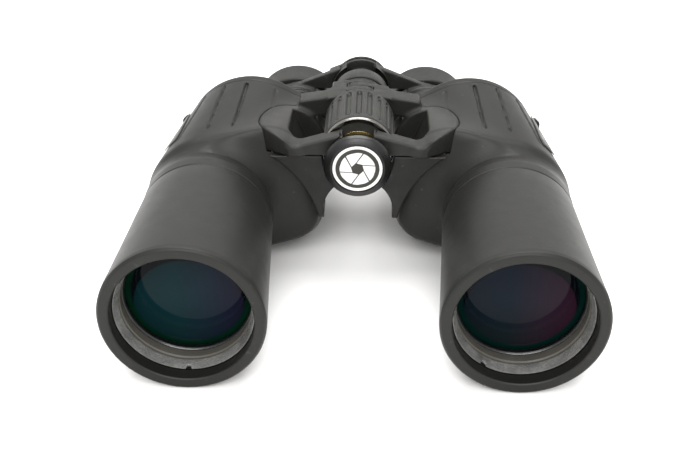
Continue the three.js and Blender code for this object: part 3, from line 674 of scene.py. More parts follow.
def add_camera():
    forward = Vector((math.sin(YAW) * math.cos(PITCH), math.cos(YAW) * math.cos(PITCH), -math.sin(PITCH)))
    right = Vector((math.cos(YAW), -math.sin(YAW), 0))
    up = right.cross(forward)
    across = right * math.cos(ROLL) + up * math.sin(ROLL)
    upward = up * math.cos(ROLL) - right * math.sin(ROLL)
    data = bpy.data.cameras.new("camera")
    data.sensor_width = SENSOR
    data.lens = FOCAL_PX / IMAGE_WIDTH * SENSOR
    data.clip_start, data.clip_end = 0.01, 20
    camera = bpy.data.objects.new("camera", data)
    bpy.context.scene.collection.objects.link(camera)
    turn = Matrix((across, upward, -forward)).transposed()
    camera.matrix_world = Matrix.Translation(CAMERA_AT) @ turn.to_4x4()
    bpy.context.scene.camera = camera


def add_floor():
    half, back_y, rise = 1.6, 1.1, 1.4
    steps = 24
    rows = [(-half * 1.4, 0.0)] + [
        (back_y + 0.5 * math.sin(a), 0.5 - 0.5 * math.cos(a)) for a in np.linspace(0, math.pi / 2, steps)
    ] + [(back_y + 0.5, rise)]
    points = [(x, y, z) for y, z in rows for x in (-half, half)]
    faces = [(2 * i, 2 * i + 1, 2 * i + 3, 2 * i + 2) for i in range(len(rows) - 1)]
    look = Look("floor")
    tint = look.ramp(look.noise(5, 3), (0.3, (0.86, 0.855, 0.84)), (0.7, (0.88, 0.875, 0.86)))
    look.feed("Base Color", tint)
    look.shader.inputs["Roughness"].default_value = 0.6
    look.shader.inputs["Specular IOR Level"].default_value = 0.3
    floor = piece("floor", np.array(points) / MM, faces, look.material, 60)


def add_light(name, at, aim, size, watts, colour=(1, 1, 1)):
    data = bpy.data.lights.new(name, "AREA")
    data.shape = "RECTANGLE"
    data.size, data.size_y = size
    data.energy = watts
    data.color = colour
    lamp = bpy.data.objects.new(name, data)
    bpy.context.scene.collection.objects.link(lamp)
    lamp.location = at
    lamp.rotation_mode = "QUATERNION"
    lamp.rotation_quaternion = (Vector(aim) - Vector(at)).to_track_quat("-Z", "Y")


def add_world():
    world = bpy.data.worlds.new("studio")
    world.use_nodes = True
    sky = world.node_tree.nodes["Background"]
    sky.inputs["Color"].default_value = (1.0, 1.0, 1.0, 1)
    sky.inputs["Strength"].default_value = 1.15
    bpy.context.scene.world = world
    bpy.context.scene.view_settings.view_transform = "Standard"


add_camera()
add_floor()
add_world()
add_light("overhead", (0.0, 0.30, 1.15), (0, 0.02, 0), (1.0, 0.7), 17)
add_light("front", (0.0, -1.0, 1.0), (0, -0.05, 0), (1.1, 0.7), 17)


# ---- helpers to place pieces

def put(obj, body, slot, *nodes):
    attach(obj, body)
    if nodes:
        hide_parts(*nodes)
    return obj


def turned(name, body, slot, look, profile, axis, nodes=(), sign=1, segments=128, closed=True, warp=None,
           arc_step=18):
    """A piece turned on a lathe; nodes are the frame's nodes that it replaces."""
    points, faces = lathe(profile, axis, segments, closed, warp, arc_step)
    return put(piece(name, *mirrored(points, faces, sign), look), body, slot, *nodes)


def cast(name, body, slot, look, field, lo, hi, step, nodes=(), sign=1, share=0.5):
    """A piece made from a distance field within the box from lo to hi."""
    points, faces = mirrored(*surface_net(field, lo, hi, step), sign)
    return put(thinned(piece(name, points, faces, look), share), body, slot, *nodes)


# ---- barrels

NOTCH_AT = {"left": (math.pi + 0.56, 0.56), "right": (math.pi, 0.0)}


def notch(width, depth_y, front_y, at_angles):
    """Spanner notches in the front edge of a ring: the grid's front rows sink in near each angle."""
    def warp(r, y, a):
        for angle in at_angles:
            off = np.abs((a - angle + math.pi) % (2 * math.pi) - math.pi) * r
            sink = np.clip((width - off) / 0.35, 0, 1)
            front = np.clip((front_y + depth_y - y) / depth_y, 0, 1) > 0
            y = np.where(front, np.maximum(y, y + sink * (front_y + depth_y - y)), y)
        return r, y
    return warp


def add_barrel(side, sign):
    def ring(name, nodes, slot, look, profile, segments, **more):
        turned(f"{side}_{name}", f"{side}_half", slot, look, profile, OBJECTIVE,
               [f"{side}_{node}" for node in nodes], sign, segments, **more)

    glass = glass_left if side == "left" else glass_right
    ring("barrel_sleeve", ["objective_armour"], "armour_rubber", rubber, [
        (27.2, -89.5, 0.5), (27.8, -90, 0.35), (31.1, -90, 0.9), (32, -89, 1.0), (32, -86.6, 2.5),
        (31.55, -80), (30.6, -64), (29.65, -47), (28.75, -30), (SLEEVE_REAR_R, -18.3, 0.45), (25.9, -18.3),
        (25.9, -20), (28.9, -62), (28.9, -84.2), (27.2, -84.2, 0.3), (27.35, -87),
    ], 192)
    ring("front_tube", ["objective_tube"], "black_anodised", anodised, [
        (28.6, -83.9), (28.6, -62), (25.6, -20), (23.2, -12), (23.2, 7.5), (21.7, 7.5), (21.7, -12),
        (24.1, -20), (27.1, -62), (27.1, -83.9),
    ], 96)
    ring("lens_ring", ["retaining_ring"], "gloss_black", speckled_painted_sheen, [
        (26.5, -84.3, 0.1), (26.85, -84.3, 0.1), (26.85, -83), (26.85, -80.2), (25.2, -80.2, 0.15),
        (25.55, -81.3), (25.9, -82.4), (26.2, -83.4),
    ], 288, warp=notch(1.2, 1.7, -84.3, NOTCH_AT[side]))
    ring("lens_cell", ["objective_cell"], "black_anodised", tan_ring, [
        (25.75, -79.9, 0.1), (26.8, -79.9, 0.1), (26.8, -58.9), (23.5, -58.9), (23.5, -60.4),
        (25.3, -60.4), (25.3, -74.6), (25.05, -74.8, 0.1), (25.05, -78.4, 0.2), (25.6, -78.9, 0.2),
    ], 160)
    ring("front_lens", ["objective_crown"], "coated_glass", glass, [
        (0, -74.3), (5, -74.2), (10, -73.85), (15, -73.25), (20, -72.4), (24.6, -71.5, 0.2), (25, -71.1),
        (25, -68.7), (13, -66.5), (0, -65.9),
    ], 96, closed=False)
    ring("lens_gasket", [], "gloss_black", spindle_black, [
        (24.35, -73.6, 0.5), (25.0, -74.4, 0.3), (25.25, -74.4), (25.25, -71.8), (24.35, -71.8, 0.3),
    ], 128)
    ring("rear_lens", ["objective_flint"], "coated_glass", glass, [
        (0, -65.6), (13, -66.2), (25, -68.4), (25, -61), (0, -61.6),
    ], 64, closed=False)


# ---- rubber skin over each housing

def slice_at(uv, polys, values, level, eps=0.04):
    """Splits the polygons where the values cross the level, with new points on the level."""
    uv = list(map(tuple, uv))
    signs = [0 if abs(v - level) < eps else (1 if v > level else -1) for v in values]
    gaps = [v - level for v in values]
    made = {}
    out = []
    for poly in polys:
        s = [signs[i] for i in poly]
        if max(s) <= 0 or min(s) >= 0:
            out.append(poly)
            continue
        ring = []
        for i, j in zip(poly, poly[1:] + poly[:1]):
            ring.append(i)
            if signs[i] * signs[j] < 0:
                key = (min(i, j), max(i, j))
                if key not in made:
                    t = gaps[i] / (gaps[i] - gaps[j])
                    made[key] = len(uv)
                    uv.append(tuple(a + (b - a) * t for a, b in zip(uv[i], uv[j])))
                    signs.append(0)
                ring.append(made[key])
        cuts = [n for n, i in enumerate(ring) if signs[i] == 0]
        if len(cuts) != 2:
            out.append(ring)
            continue
        a, b = cuts
        out.append(ring[a:b + 1])
        out.append(ring[b:] + ring[:a + 1])
    return np.array(uv), [p for p in out if len(p) > 2]


# The grooves in the grip: x is where a groove's line lies at the two places GROOVE_Y, and y the
# stretch that the groove covers.
GROOVES = [
    {"x": (39.5, 38.2), "y": (14, 45), "depth": 0.3},
    {"x": (54.5, 51.5), "y": (10.5, 46), "depth": 1.05},
    {"x": (65.5, 62), "y": (10.5, 46), "depth": 1.05},
    {"x": (78.5, 71), "y": (10, 46), "depth": 1.05},
]
GROOVE_Y = (10, 48)
GROOVE_HALF = 0.85
REAR_LINE_Y, REAR_LINE_HALF, REAR_LINE_DEPTH = 48.2, 0.35, 0.35
# The skin is laid out flat: u is the way round at UNROLL_R, v the way along Y, and behind
# BEND_V the skin turns inwards over a length of BEND.
UNROLL_R = 40.0
COLUMNS = 176
BEND_V, BEND = 51.5, 1.8
EDGE_R = 0.8
BACKING = 2.3


def v_to_y(v):
    """Where a row of the skin lies along Y, and how far it is drawn in, so that both ends are rounded."""
    bend = np.clip((v - BEND_V) / BEND, 0, 1) * math.pi / 2
    start = np.clip((v - SKIN_Y0) / 0.45, 0, 1) * math.pi / 2
    y = np.where(v > BEND_V, BEND_V + 1.5 * np.sin(bend), v)
    return y, 1.6 * (1 - np.cos(bend)) + 0.35 * (1 - np.sin(start))


def armour_point(uv, extra=0.0):
    y, inset = v_to_y(uv[:, 1])
    return skin_point(OUTER, y, uv[:, 0] / UNROLL_R, inset + extra)


def groove_field(p, groove):
    """How far a point is from a groove's centre line, measured along the top."""
    (front_x, rear_x), (y0, y1) = groove["x"], groove["y"]
    t = (p[:, 1] - GROOVE_Y[0]) / (GROOVE_Y[1] - GROOVE_Y[0])
    slope = np.maximum(np.abs(p[:, 2] - OBJECTIVE[1]) / 34, 0.35)
    off = np.abs(p[:, 0] - (front_x + (rear_x - front_x) * t)) / slope
    off = np.where(p[:, 2] < 34, 50, off)
    past = np.maximum(np.maximum(y0 - p[:, 1], p[:, 1] - y1), 0)
    return np.hypot(off, past)


def armour_grid():
    """The whole skin as flat points and quads. The first column comes again as the last one,
    so that a place between two columns can be found by mixing."""
    u = np.arange(COLUMNS + 1) * 2 * math.pi / COLUMNS * UNROLL_R
    front = [-18, -17.85, -17.7, -17.5]
    rear = [BEND_V, 51.8, 52.1, 52.5, 52.9, 53.3]
    v = np.concatenate([front, np.arange(-16.9, 51.3, 1.25), rear])
    across = len(u)
    quads = []
    for i in range(len(v) - 1):
        for k in range(COLUMNS):
            a = i * across + k
            quads.append([a, a + 1, a + across + 1, a + across])
    return np.array([(a, b) for b in v for a in u]), quads


def closed_sheet(outer, inner, polys):
    """A sheet with two sides, closed along its borders. Points that no polygon uses are left out."""
    borders = {}
    for poly in polys:
        for a, b in zip(poly, poly[1:] + poly[:1]):
            if (b, a) in borders:
                del borders[(b, a)]
            else:
                borders[(a, b)] = True
    n = len(outer)
    faces = [tuple(q) for q in polys] + [tuple(n + i for i in reversed(q)) for q in polys]
    faces += [(b, a, n + a, n + b) for a, b in borders]
    used = sorted({i for f in faces for i in f})
    order = {old: new for new, old in enumerate(used)}
    points = np.vstack([outer, inner])[used]
    return points, facing_out(points, [tuple(order[i] for i in f) for f in faces])


def seam_joined(uv, polys):
    """The polygons with the last column's points replaced by the first column's."""
    wrap = 2 * math.pi * UNROLL_R
    first = {round(float(uv[i, 1]), 5): i for i in np.where(uv[:, 0] < 1e-6)[0]}
    merge = np.arange(len(uv))
    for i in np.where(uv[:, 0] > wrap - 1e-6)[0]:
        merge[i] = first.get(round(float(uv[i, 1]), 5), i)
    return [[int(merge[i]) for i in q] for q in polys]


def armour_mesh():
    """The left skin: the grid cut open round the bare frame, with grooves and rounded edges."""
    def free(q):
        p = armour_point(q)
        return f_bare(p[:, 0], p[:, 1], p[:, 2]) - GAP

    uv, polys = armour_grid()
    for level in (EDGE_R, 0.45, 0.18, 0.0):
        uv, polys = slice_at(uv, polys, free(uv), level)
    keep = free(uv) > -0.03
    polys = [p for p in polys if all(keep[i] for i in p)]
    for groove in GROOVES:
        for level in (0.3, 0.6, GROOVE_HALF, GROOVE_HALF + 0.25):
            uv, polys = slice_at(uv, polys, groove_field(armour_point(uv), groove), level)
    for off in (-REAR_LINE_HALF, 0, REAR_LINE_HALF):
        uv, polys = slice_at(uv, polys, uv[:, 1], REAR_LINE_Y + off)
    p = armour_point(uv)
    depth = np.zeros(len(uv))
    for groove in GROOVES:
        wall = np.clip((GROOVE_HALF + 0.1 - groove_field(p, groove)) / 0.5, 0, 1)
        depth = np.maximum(depth, groove["depth"] * wall)
    line = np.clip(1 - np.abs(uv[:, 1] - REAR_LINE_Y) / REAR_LINE_HALF, 0, 1)
    above = np.clip((p[:, 2] - 30) / 8, 0, 1)
    depth = np.maximum(depth, REAR_LINE_DEPTH * line * above)
    edge = np.clip(free(uv), 0, EDGE_R)
    depth = depth + EDGE_R - np.sqrt(np.maximum(EDGE_R ** 2 - (EDGE_R - edge) ** 2, 0))
    inner = armour_point(uv, BACKING)
    inner[:, 1] = np.clip(inner[:, 1], -17.7, 50.8)
    return closed_sheet(armour_point(uv, depth), inner, seam_joined(uv, polys))


ARMOUR = armour_mesh()


def add_armour(side, sign):
    obj = piece(f"{side}_rubber_skin", *mirrored(*ARMOUR, sign), rubber, 40)
    put(obj, f"{side}_half", "armour_rubber", f"{side}_armour")


# ---- castings

FRONT_KNUCKLE = {"left": (-5.7, -2.8), "right": (-2.5, 0.2)}
REAR_KNUCKLES = {"left": ((33.3, 37.2), (41.7, 45.6)), "right": ((37.5, 41.4), (45.9, 49.8))}
HUB_Y = {"left": (67.0, 69.9), "right": (70.2, 73.1)}
COVER_SCREWS = ((58, 56), (68, 22), (38, 8))
SCREW_ROOM_R = 2.2


def f_knuckles(x, y, z, arm, rings, outer, span):
    """An arm cut clear of the other half's knuckles, with its own added."""
    stops = [span[0], *[v for ring in rings for v in ring], span[1]]
    for i in range(0, len(stops), 2):
        room = f_and(f_disc(x, z, HINGE, outer + GAP), f_range(y, stops[i], stops[i + 1]))
        arm = f_less(arm, room, 0.25)
    for y0, y1 in rings:
        arm = f_or(arm, f_and(f_disc(x, z, HINGE, outer), f_range(y, y0, y1), 0.35))
    return arm


def f_front_window(x, y, z):
    """The slot in the top of the hinge through which the washer shows."""
    return f_and(f_and(f_range(x, -6.5, 6.5), f_range(y, -10.2, 1)), 8.2 - np.hypot(x, z - 57))


def housing_field(side):
    def field(x, y, z):
        window = f_or(f_lobe(x, y), f_block(x, y), 5.0)
        cap = f_and(f_skin(OUTER, x, y, z), f_and(window, np.where(y < 3, 57.0, 44.5) - z), 0.7)
        cap = f_and(cap, f_range(y, -5.7, 49.7), 1.2)
        plate = f_and(f_skin(PLATE, x, y, z), f_and(f_lobe(x, y), ARM_UNDER_Z - z, 0.8), 0.9)
        plate = f_and(plate, f_range(y, -5.7, 49.7), 1.0)
        wall = f_and(f_skin(CASTING, x, y, z), f_and(window - 1.0, 40.5 - z))
        wall = f_and(wall, f_range(y, 4.6, 49.7))
        body = f_or(f_or(cap, wall), plate, 1.0)
        front = f_capsule(x, z, HINGE, KNUCKLE_R, (31, 49), 11)
        front = f_and(f_and(front, ARM_UNDER_Z - z, 0.6), f_range(y, -5.7, 2), 1.2)
        front = f_and(front, f_and(x - 29, -x))
        rear = f_and(f_capsule(x, z, HINGE, REAR_KNUCKLE_R, (32, 52), 12), ARM_UNDER_Z - z, 0.6)
        near = f_and(f_range(y, REAR_ARM_Y[0], REAR_KNUCKLES[side][1][1]), x - 12.8)
        reach = f_or(f_and(f_range(y, *REAR_ARM_Y), x - INNER_X), near, 4.0)
        rear = f_and(f_and(rear, reach, 1.2), -x)
        front = f_knuckles(x, y, z, front, [FRONT_KNUCKLE[side]], KNUCKLE_R, (-9, 4))
        rear = f_knuckles(x, y, z, rear, REAR_KNUCKLES[side], REAR_KNUCKLE_R, (30, 52))
        body = f_or(f_or(body, front, 3.0), rear, 3.0)
        body = f_or(body, f_apron(x, y, z, -1.7, APRON_BACK_Y, 0.4), 0.3)
        body = f_less(body, f_and(f_disc(x, z, HINGE, 16.2), f_range(y, 0.6, 32.7)), 0.8)
        body = f_less(body, f_pocket(x, y, z), 1.0)
        body = f_less(body, f_disc(x, z, HINGE, np.where(y < 15, 7.3, 9.3)), 0.3)
        body = f_less(body, f_front_window(x, y, z), 0.3)
        room = f_and(f_skin(CASTING, x, y, z) + 2.2, 7 - y)
        room = f_less(room, f_or(f_pocket(x, y, z) - 2.2, f_disc(x, z, HINGE, 18.4)))
        body = f_less(body, room)
        return f_less(body, f_disc(x, z, OBJECTIVE, 23.5))
    return field


def add_housing(side, sign):
    half = f"{side}_half"
    cast(f"{side}_frame_casting", half, "frame_satin", satin, housing_field(side),
         (-13, -7, 17), (46, 51, 70.5), 0.5, [f"{side}_prism_housing"], sign, 0.45)
    cast(f"{side}_apron_plate", half, "cover_satin", cover_satin,
         lambda x, y, z: f_apron(x, y, z, -5.4, -2, 0.55),
         (4, -6, 18), (39, -1, 58), 0.4, [f"{side}_front_cover"], sign, 0.45)

    def cover(x, y, z):
        plate = f_and(f_skin(CASTING, x, np.minimum(y, 52), z) + 0.2, f_range(y, 50, 53), 0.6)
        boss = f_and(f_disc(x, z, EYEPIECE, 17.3), f_range(y, 50, 56.2), 0.7)
        body = f_or(plate, boss, 1.5)
        for at in COVER_SCREWS:
            sink = f_and(f_disc(x, z, at, SCREW_ROOM_R), 52.2 - y)
            body = f_less(body, sink, 0.2)
        return f_less(body, f_disc(x, z, EYEPIECE, CUP_GUIDE_R), 0.4)

    cast(f"{side}_rear_plate", half, "frame_satin", satin, cover,
         (10, 49, 0), (80, 57, 68), 0.7, [f"{side}_rear_cover"], sign, 0.5)

    for n, (cx, cz) in enumerate(COVER_SCREWS, 1):
        def screw(x, y, z):
            head = f_and(f_disc(x, z, (cx, cz), 1.9), f_range(y, 52.3, 53.3), 0.3)
            cross = f_or(f_and(f_range(x - cx, -0.25, 0.25), f_range(z - cz, -1.2, 1.2)),
                         f_and(f_range(z - cz, -0.25, 0.25), f_range(x - cx, -1.2, 1.2)))
            return f_less(head, f_and(cross, 52.8 - y))

        cast(f"{side}_cover_screw_{n}", half, "steel", anodised, screw,
             (cx - SCREW_ROOM_R, 52, cz - SCREW_ROOM_R), (cx + SCREW_ROOM_R, 53.5, cz + SCREW_ROOM_R),
             0.2, (), sign, 0.6)

    def lug(x, y, z):
        plate = f_polygon(x, z, [
            (66, 31), (69, 29), (82, 29), (84, 31), (84, 45), (82, 47), (69, 47), (66, 45),
        ])
        slot = f_and(f_range(x, 77.4, 81.7), f_range(z, 31.5, 44.5))
        body = f_and(plate, f_range(y, 53.3, 56.3), 0.7)
        return f_less(body, slot, 0.6)

    cast(f"{side}_strap_loop", half, "black_anodised", anodised, lug,
         (65.5, 53, 28.5), (86.5, 56.6, 47.5), 0.35, [f"{side}_strap_lug"], sign, 0.5)


# ---- eyepieces

HUB_R = 13.1
HUB_WINDOW = 6.6


def add_eyepiece(side, sign):
    def ring(name, node, body, slot, look, profile, segments=128, **more):
        turned(f"{side}_{name}", body, slot, look, profile, EYEPIECE, [f"{side}_{node}"], sign,
               segments, **more)

    body = f"{side}_eyepiece"
    ocular = body if side == "left" else "right_ocular"
    flange = [(15.5, 60), (FLANGE_R, 60, 0.6), (FLANGE_R, 64.7, 0.5), (15.5, 64.7)]
    ring("drawtube", "eyepiece_tube", body, "frame_satin", satin, [
        (11, 44), (12.5, 44), (12.5, 50.8), (15.5, 50.8, 0.3), *(flange if side == "left" else []),
        (15.5, 70.2, 0.3), (14, 70.2), (14, 52.3), (11, 52.3),
    ])
    if side == "right":
        def index_line(r, y, a):
            off = np.abs((a + math.pi) % (2 * math.pi) - math.pi) * FLANGE_R
            line = np.clip((5.2 - off) / 0.3, 0, 1) * np.clip((0.45 - np.abs(y - 62.3)) / 0.2, 0, 1)
            rib = 0.28 * np.clip(np.cos(a * 48) * 2, 0, 1) * np.clip((off - 8) / 1.0, 0, 1)
            rib = rib * np.clip((2.0 - np.abs(y - 62.4)) / 0.3, 0, 1)
            return r - (r > 19) * (0.5 * line + rib), y

        rows = [(FLANGE_R, y) for y in (60.4, 61.85, 62.05, 62.3, 62.55, 62.75, 64.2)]
        turned(
            "dioptre_collar", "dioptre_ring", "frame_satin", satin,
            [
                (CUP_GUIDE_R, 60), (FLANGE_R, 60, 0.5), *rows, (FLANGE_R, 64.7, 0.5), (CUP_GUIDE_R, 64.7),
            ],
            EYEPIECE, ["dioptre_ring"], sign, 384, warp=index_line,
        )
    hub0, hub1 = HUB_Y[side]

    def arm(x, y, z):
        outline = f_polygon(x, z, [(-1, 70.4), (32, 57.1), (25, 47), (9, 56), (-1, 56)])
        bar = f_and(f_and(outline, f_and(f_range(y, 66.7, 70.2), 6 - x)), 57.5 - 0.42 * x - z, 0.5)
        bar = f_and(bar, f_disc(x, z, HINGE, 60), 0.7)
        root = f_and(f_and(outline, x - 15), f_range(y, 66.7, hub1), 0.5)
        body = f_or(bar, f_and(root, f_and(60 - z, 6 - x)), 0.5)
        body = f_or(body, f_and(f_disc(x, z, EYEPIECE, FLANGE_R), f_range(y, 65, 70.2), 0.7), 1.5)
        clear = f_disc(x, z, HINGE, HUB_R + GAP)
        body = f_less(f_less(body, f_and(clear, y - hub0), 0.2), f_and(clear, hub1 - y), 0.2)
        disc = f_disc(x, z, HINGE, HUB_R)
        pad = f_and(f_and(disc, -f_disc(x, z, HINGE, 9.8)), f_range(y, 63.6, 67.2), 0.5)
        pad = f_and(f_and(pad, HUB_WINDOW - x, 0.4), HINGE[1] - z)
        hub = f_and(disc, f_range(y, hub0, hub1), 0.4)
        open_top = f_and(np.abs(x) - HUB_WINDOW, f_and(HINGE[1] - z, y - hub0 - 1.4))
        body = f_or(body, f_less(hub, open_top, 0.3), 0.3)
        body = f_or(body, pad, 0.3)
        body = f_less(body, f_disc(x, z, HINGE, 9.3), 0.3)
        return f_less(body, f_disc(x, z, EYEPIECE, CUP_GUIDE_R), 0.4)

    cast(f"{side}_focus_bridge", body, "frame_satin", satin, arm,
         (-13.5, 64.5, 18), (51, 74, 71), 0.5, [f"{side}_bridge_arm"], sign, 0.5)
    ring("lens_barrel", "ocular_barrel", ocular, "black_anodised", anodised, [
        (12.2, 54.2), (13.7, 54.2, 0.2), (13.7, 79, 0.3), (10.8, 79, 0.3), (10.8, 77, 0.2), (12.2, 77),
    ])
    ring("field_glass", "field_lens", ocular, "coated_glass", lens_glass, [
        (0, 55.8), (5, 56.1), (9, 56.75), (11.9, 57.5), (11.9, 61), (8, 61.6), (0, 62),
    ], 64, closed=False)
    ring("eye_glass", "eye_lens", ocular, "coated_glass", lens_glass, [
        (0, 70), (6, 70.4), (11.9, 71.5), (11.9, 75), (8.5, 75.8), (4, 76.35), (0, 76.5),
    ], 64, closed=False)
    ring("cup_guide", "eyecup_guide", f"{side}_eyecup_guide", "black_anodised", anodised, [
        (14, 71.8, 0.2), (15.6, 71.8, 0.2), (15.6, 86, 0.2), (14, 86, 0.2),
    ])
    ring("rubber_eyecup", "eyecup", f"{side}_eyecup", "eyecup_rubber", cup_rubber, [
        (15.9, 72, 0.2), (20.7, 72, 0.9), (20.7, 74.5), (20.6, 80), (20.7, 86), (20.7, 88.2, 2.0),
        (18.9, 90, 1.2), (15.2, 90, 1.2), (13.2, 86.4, 0.4), (15.9, 86.4, 0.3),
    ], 160, arc_step=12)


# ---- side plates

BADGE_LEAN = math.radians(29)
BADGE_Y = (10.6, 43.4)
BADGE_HALF = 4.3


def add_badge(side, sign):
    """A thin plate bent round the outer shoulder of the housing, a little narrower at its ends."""
    rows, columns = 40, 18
    y, across = np.meshgrid(np.linspace(*BADGE_Y, rows), np.linspace(-BADGE_HALF, BADGE_HALF, columns),
                            indexing="ij")
    taper = 1 - 0.25 * np.abs(np.linspace(-1, 1, rows)) ** 4
    angle = (BADGE_LEAN + across * taper[:, None] / 36).ravel()
    y, across = y.ravel(), across.ravel()
    rim = np.minimum(np.minimum(y - BADGE_Y[0], BADGE_Y[1] - y), BADGE_HALF - np.abs(across))
    lift = 0.75 - 0.35 * np.clip(1 - rim / 0.5, 0, 1) ** 2
    quads = []
    for i in range(rows - 1):
        for j in range(columns - 1):
            a = i * columns + j
            quads.append([a, a + 1, a + columns + 1, a + columns])
    face, back = skin_point(OUTER, y, angle, -lift), skin_point(OUTER, y, angle, -GAP)
    points, faces = closed_sheet(face, back, quads)
    obj = piece(f"{side}_side_plate", *mirrored(points, faces, sign), badge_grey, 40)
    put(obj, f"{side}_half", "badge_grey", f"{side}_side_badge")


# ---- hinge and focus drive

WHEEL_R = 15.3
WHEEL_SLOTS = 20


def wheel_slots(r, y, a):
    """Pill-shaped slots round the wheel, each with a small bump at both ends."""
    pitch = 2 * math.pi / WHEEL_SLOTS
    off = ((a + pitch / 2) % pitch - pitch / 2) * WHEEL_R
    outer = r > 14.9
    middle, half = 17.3, 10.3
    past = np.maximum(np.abs(y - middle) - half, 0)
    d = np.hypot(off, past) - 1.2
    sink = 0.85 * np.clip((0.15 - d) / 0.55, 0, 1)
    groove = 0.16 * np.clip(1 - np.abs(np.abs(off) - 1.95) / 0.4, 0, 1) * (np.abs(y - middle) < half + 2)
    bump = 0
    for at, size in ((middle + half - 0.4, 0.75), (middle - half + 0.2, 0.55)):
        near = np.hypot(off, y - at)
        bump = np.maximum(bump, 0.75 * np.sqrt(np.maximum(1 - (near / size) ** 2, 0)))
    return r - outer * (np.maximum(sink - bump, 0) + groove), y


def add_hinge():
    def ring(name, node, body, slot, look, profile, segments=128, **more):
        turned(name, body, slot, look, profile, HINGE, [node], 1, segments, **more)

    # Painted shade: the front hinge barrel takes the near-black cap finish instead of the frame satin, so
    # the recessed gap behind the cap reads dark.
    ring("hinge_front_barrel", "front_hinge_barrel", "hinge", "frame_satin", cap_satin, [
        (3.3, -12), (11.9, -12), (12.4, -11.5, 0.3), (12.4, -10.2, 0.3), (8, -10.2), (8, -6, 0.3), (3.3, -6),
    ])
    ring("hinge_pin", "hinge_axle", "hinge", "steel", steel, [
        (0, -5.7), (7, -5.7, 0.2), (7, 1, 0.2), (4, 1), (4, 57, 0.3), (0, 57),
    ], closed=False)
    ring("thrust_washer", "brass_washer", "hinge", "brass", brass, [
        (7.3, 0.5, 0.1), (9.5, 0.5, 0.1), (9.5, 1, 0.1), (7.3, 1, 0.1),
    ])
    ring("hinge_rear_collar", "rear_hinge_sleeve", "hinge", "frame_satin", satin, [
        (7.5, 32.8, 0.2), (9, 32.8, 0.2), (9, 50.1), (13, 50.1, 0.7), (13, 58.8, 0.9), (7.5, 58.8, 0.3),
    ])
    ring("thread_cap", "tripod_cap", "tripod_cap", "cap_satin", cap_satin, [
        (0, -14.6), (10.9, -14.6), (10.9, -15.5, 0.2), (11.4, -15.5, 0.5), (13.6, -14.3, 1.2),
        (14.5, -12.3, 0.4), (6.3, -12.3), (6.3, -13.8), (0, -13.8),
    ], 160, closed=False)
    ring("cap_thread", "cap_stud", "cap_stud", "brass", brass, [
        (0, -13.5), (6, -13.5, 0.2), (6, -12.3), (3, -12.3), (3, -7, 0.4), (0, -7),
    ], closed=False)
    rows = [(WHEEL_R, y) for y in np.linspace(4.4, 30.2, 60)]
    ring("knurled_wheel", "focus_wheel", "focus_wheel", "wheel_rubber", wheel_rubber, [
        (4.3, 1.3), (12.9, 1.3), (12.9, 3.1), (14.9, 3.1, 0.3), (15.2, 3.5, 0.2), (WHEEL_R, 4.1), *rows,
        (WHEEL_R, 30.6), (14.6, 31.6, 0.6), (13.9, 32, 0.2), (7.5, 32), (7.5, 9.3), (4.3, 9.3),
    ], 480, warp=wheel_slots)
    ring("wheel_trim", "wheel_bead", "focus_wheel", "chrome_trim", chrome, [
        (13.2, 1.3, 0.2), (14.9, 1.3, 0.5), (15.35, 2.1, 0.5), (15.1, 2.8, 0.2), (13.2, 2.8, 0.2),
    ], 160)
    thread = [p for k in range(16) for p in ((7.2, 36 + k * 1.5), (6.9, 36.75 + k * 1.5))]
    ring("threaded_spindle", "focus_spindle", "focus_spindle", "black_spindle", spindle_black, [
        (4.3, 13.2), (7.2, 13.2, 0.3), *thread, (7.2, 62.7), (10.5, 62.7, 0.5), (10.5, 66.7, 0.5),
        (9, 66.7), (9, 73.4, 0.3), (0, 73.4), (0, 61.5), (4.3, 61.5),
    ], 96)

    def screw(x, y, z):
        head = f_and(f_disc(x, z, HINGE, 9.5), f_range(y, 73.7, 75.6), 0.5)
        return f_less(head, f_and(f_and(f_range(x, -7, 7), f_range(z, 56.2, 57.8)), 74.8 - y), 0.1)

    cast("bridge_screw", "focus_spindle", "black_anodised", anodised, screw,
         (-10, 73.3, 47), (10, 76, 67), 0.3, ["hub_screw"], 1, 0.5)


MARK_Y = (-15.42, -15.1)


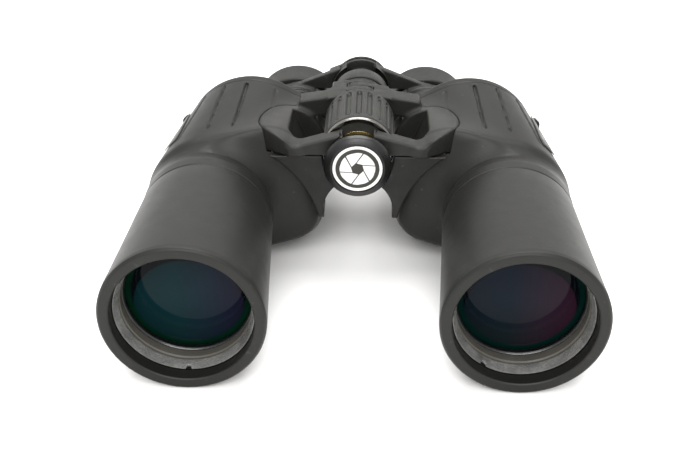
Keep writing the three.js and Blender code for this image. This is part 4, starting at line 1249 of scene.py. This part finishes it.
def add_emblem():
    """A white ring round a six-bladed lens opening, on a dark disc."""
    turned(
        "cap_inlay", "tripod_cap", "cap_satin", emblem_dark,
        [(0, -15.15), (10.55, -15.15, 0.1), (10.55, -14.75), (0, -14.75)],
        HINGE, (), closed=False,
    )
    turned(
        "cap_mark_ring", "tripod_cap", "emblem_white", white_paint,
        [(9.15, MARK_Y[0], 0.1), (10.4, MARK_Y[0], 0.12), (10.4, MARK_Y[1]), (9.15, MARK_Y[1])],
        HINGE, ["cap_emblem"], segments=160,
    )
    blades, outer_r, inner_r, lean, slit = 6, 7.6, 2.6, 0.55, 0.32
    points, faces = [], []
    for k in range(blades):
        start = 2 * math.pi * k / blades + 0.2
        end = start + 2 * math.pi / blades
        spots = [(outer_r, a) for a in np.linspace(start, end, 12)]
        spots += [(inner_r, end + lean), (inner_r, start + lean)]
        outline = np.array([(r * math.cos(a), r * math.sin(a)) for r, a in spots])
        centre = outline.mean(0)
        spokes = outline - centre
        blade = centre + spokes * (1 - slit / np.linalg.norm(spokes, axis=1, keepdims=True))
        base, n = len(points), len(blade)
        for y in MARK_Y:
            points += [(HINGE[0] + x, y, HINGE[1] + z) for x, z in blade]
        faces.append(tuple(base + i for i in range(n)))
        faces.append(tuple(base + n + i for i in reversed(range(n))))
        for i in range(n):
            j = (i + 1) % n
            faces.append((base + i, base + n + i, base + n + j, base + j))
    points = np.array(points)
    blades = piece("cap_mark_blades", points, facing_out(points, faces), white_paint, 30)
    put(blades, "tripod_cap", "emblem_white")


# The pieces inside the housings keep the meshes of the frame.
INNER_LOOKS = {
    "rear_prism": prism_glass,
    "front_prism": prism_glass,
    "rear_prism_clip": spring_steel,
    "front_prism_clip": spring_steel,
    "prism_shelf": shelf_black,
}

for side, sign in SIDES.items():
    add_barrel(side, sign)
    add_armour(side, sign)
    add_housing(side, sign)
    add_eyepiece(side, sign)
    add_badge(side, sign)
    for node, look in INNER_LOOKS.items():
        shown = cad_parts[f"{side}_{node}"]
        shown.data.materials.clear()
        shown.data.materials.append(look)
add_hinge()
add_emblem()
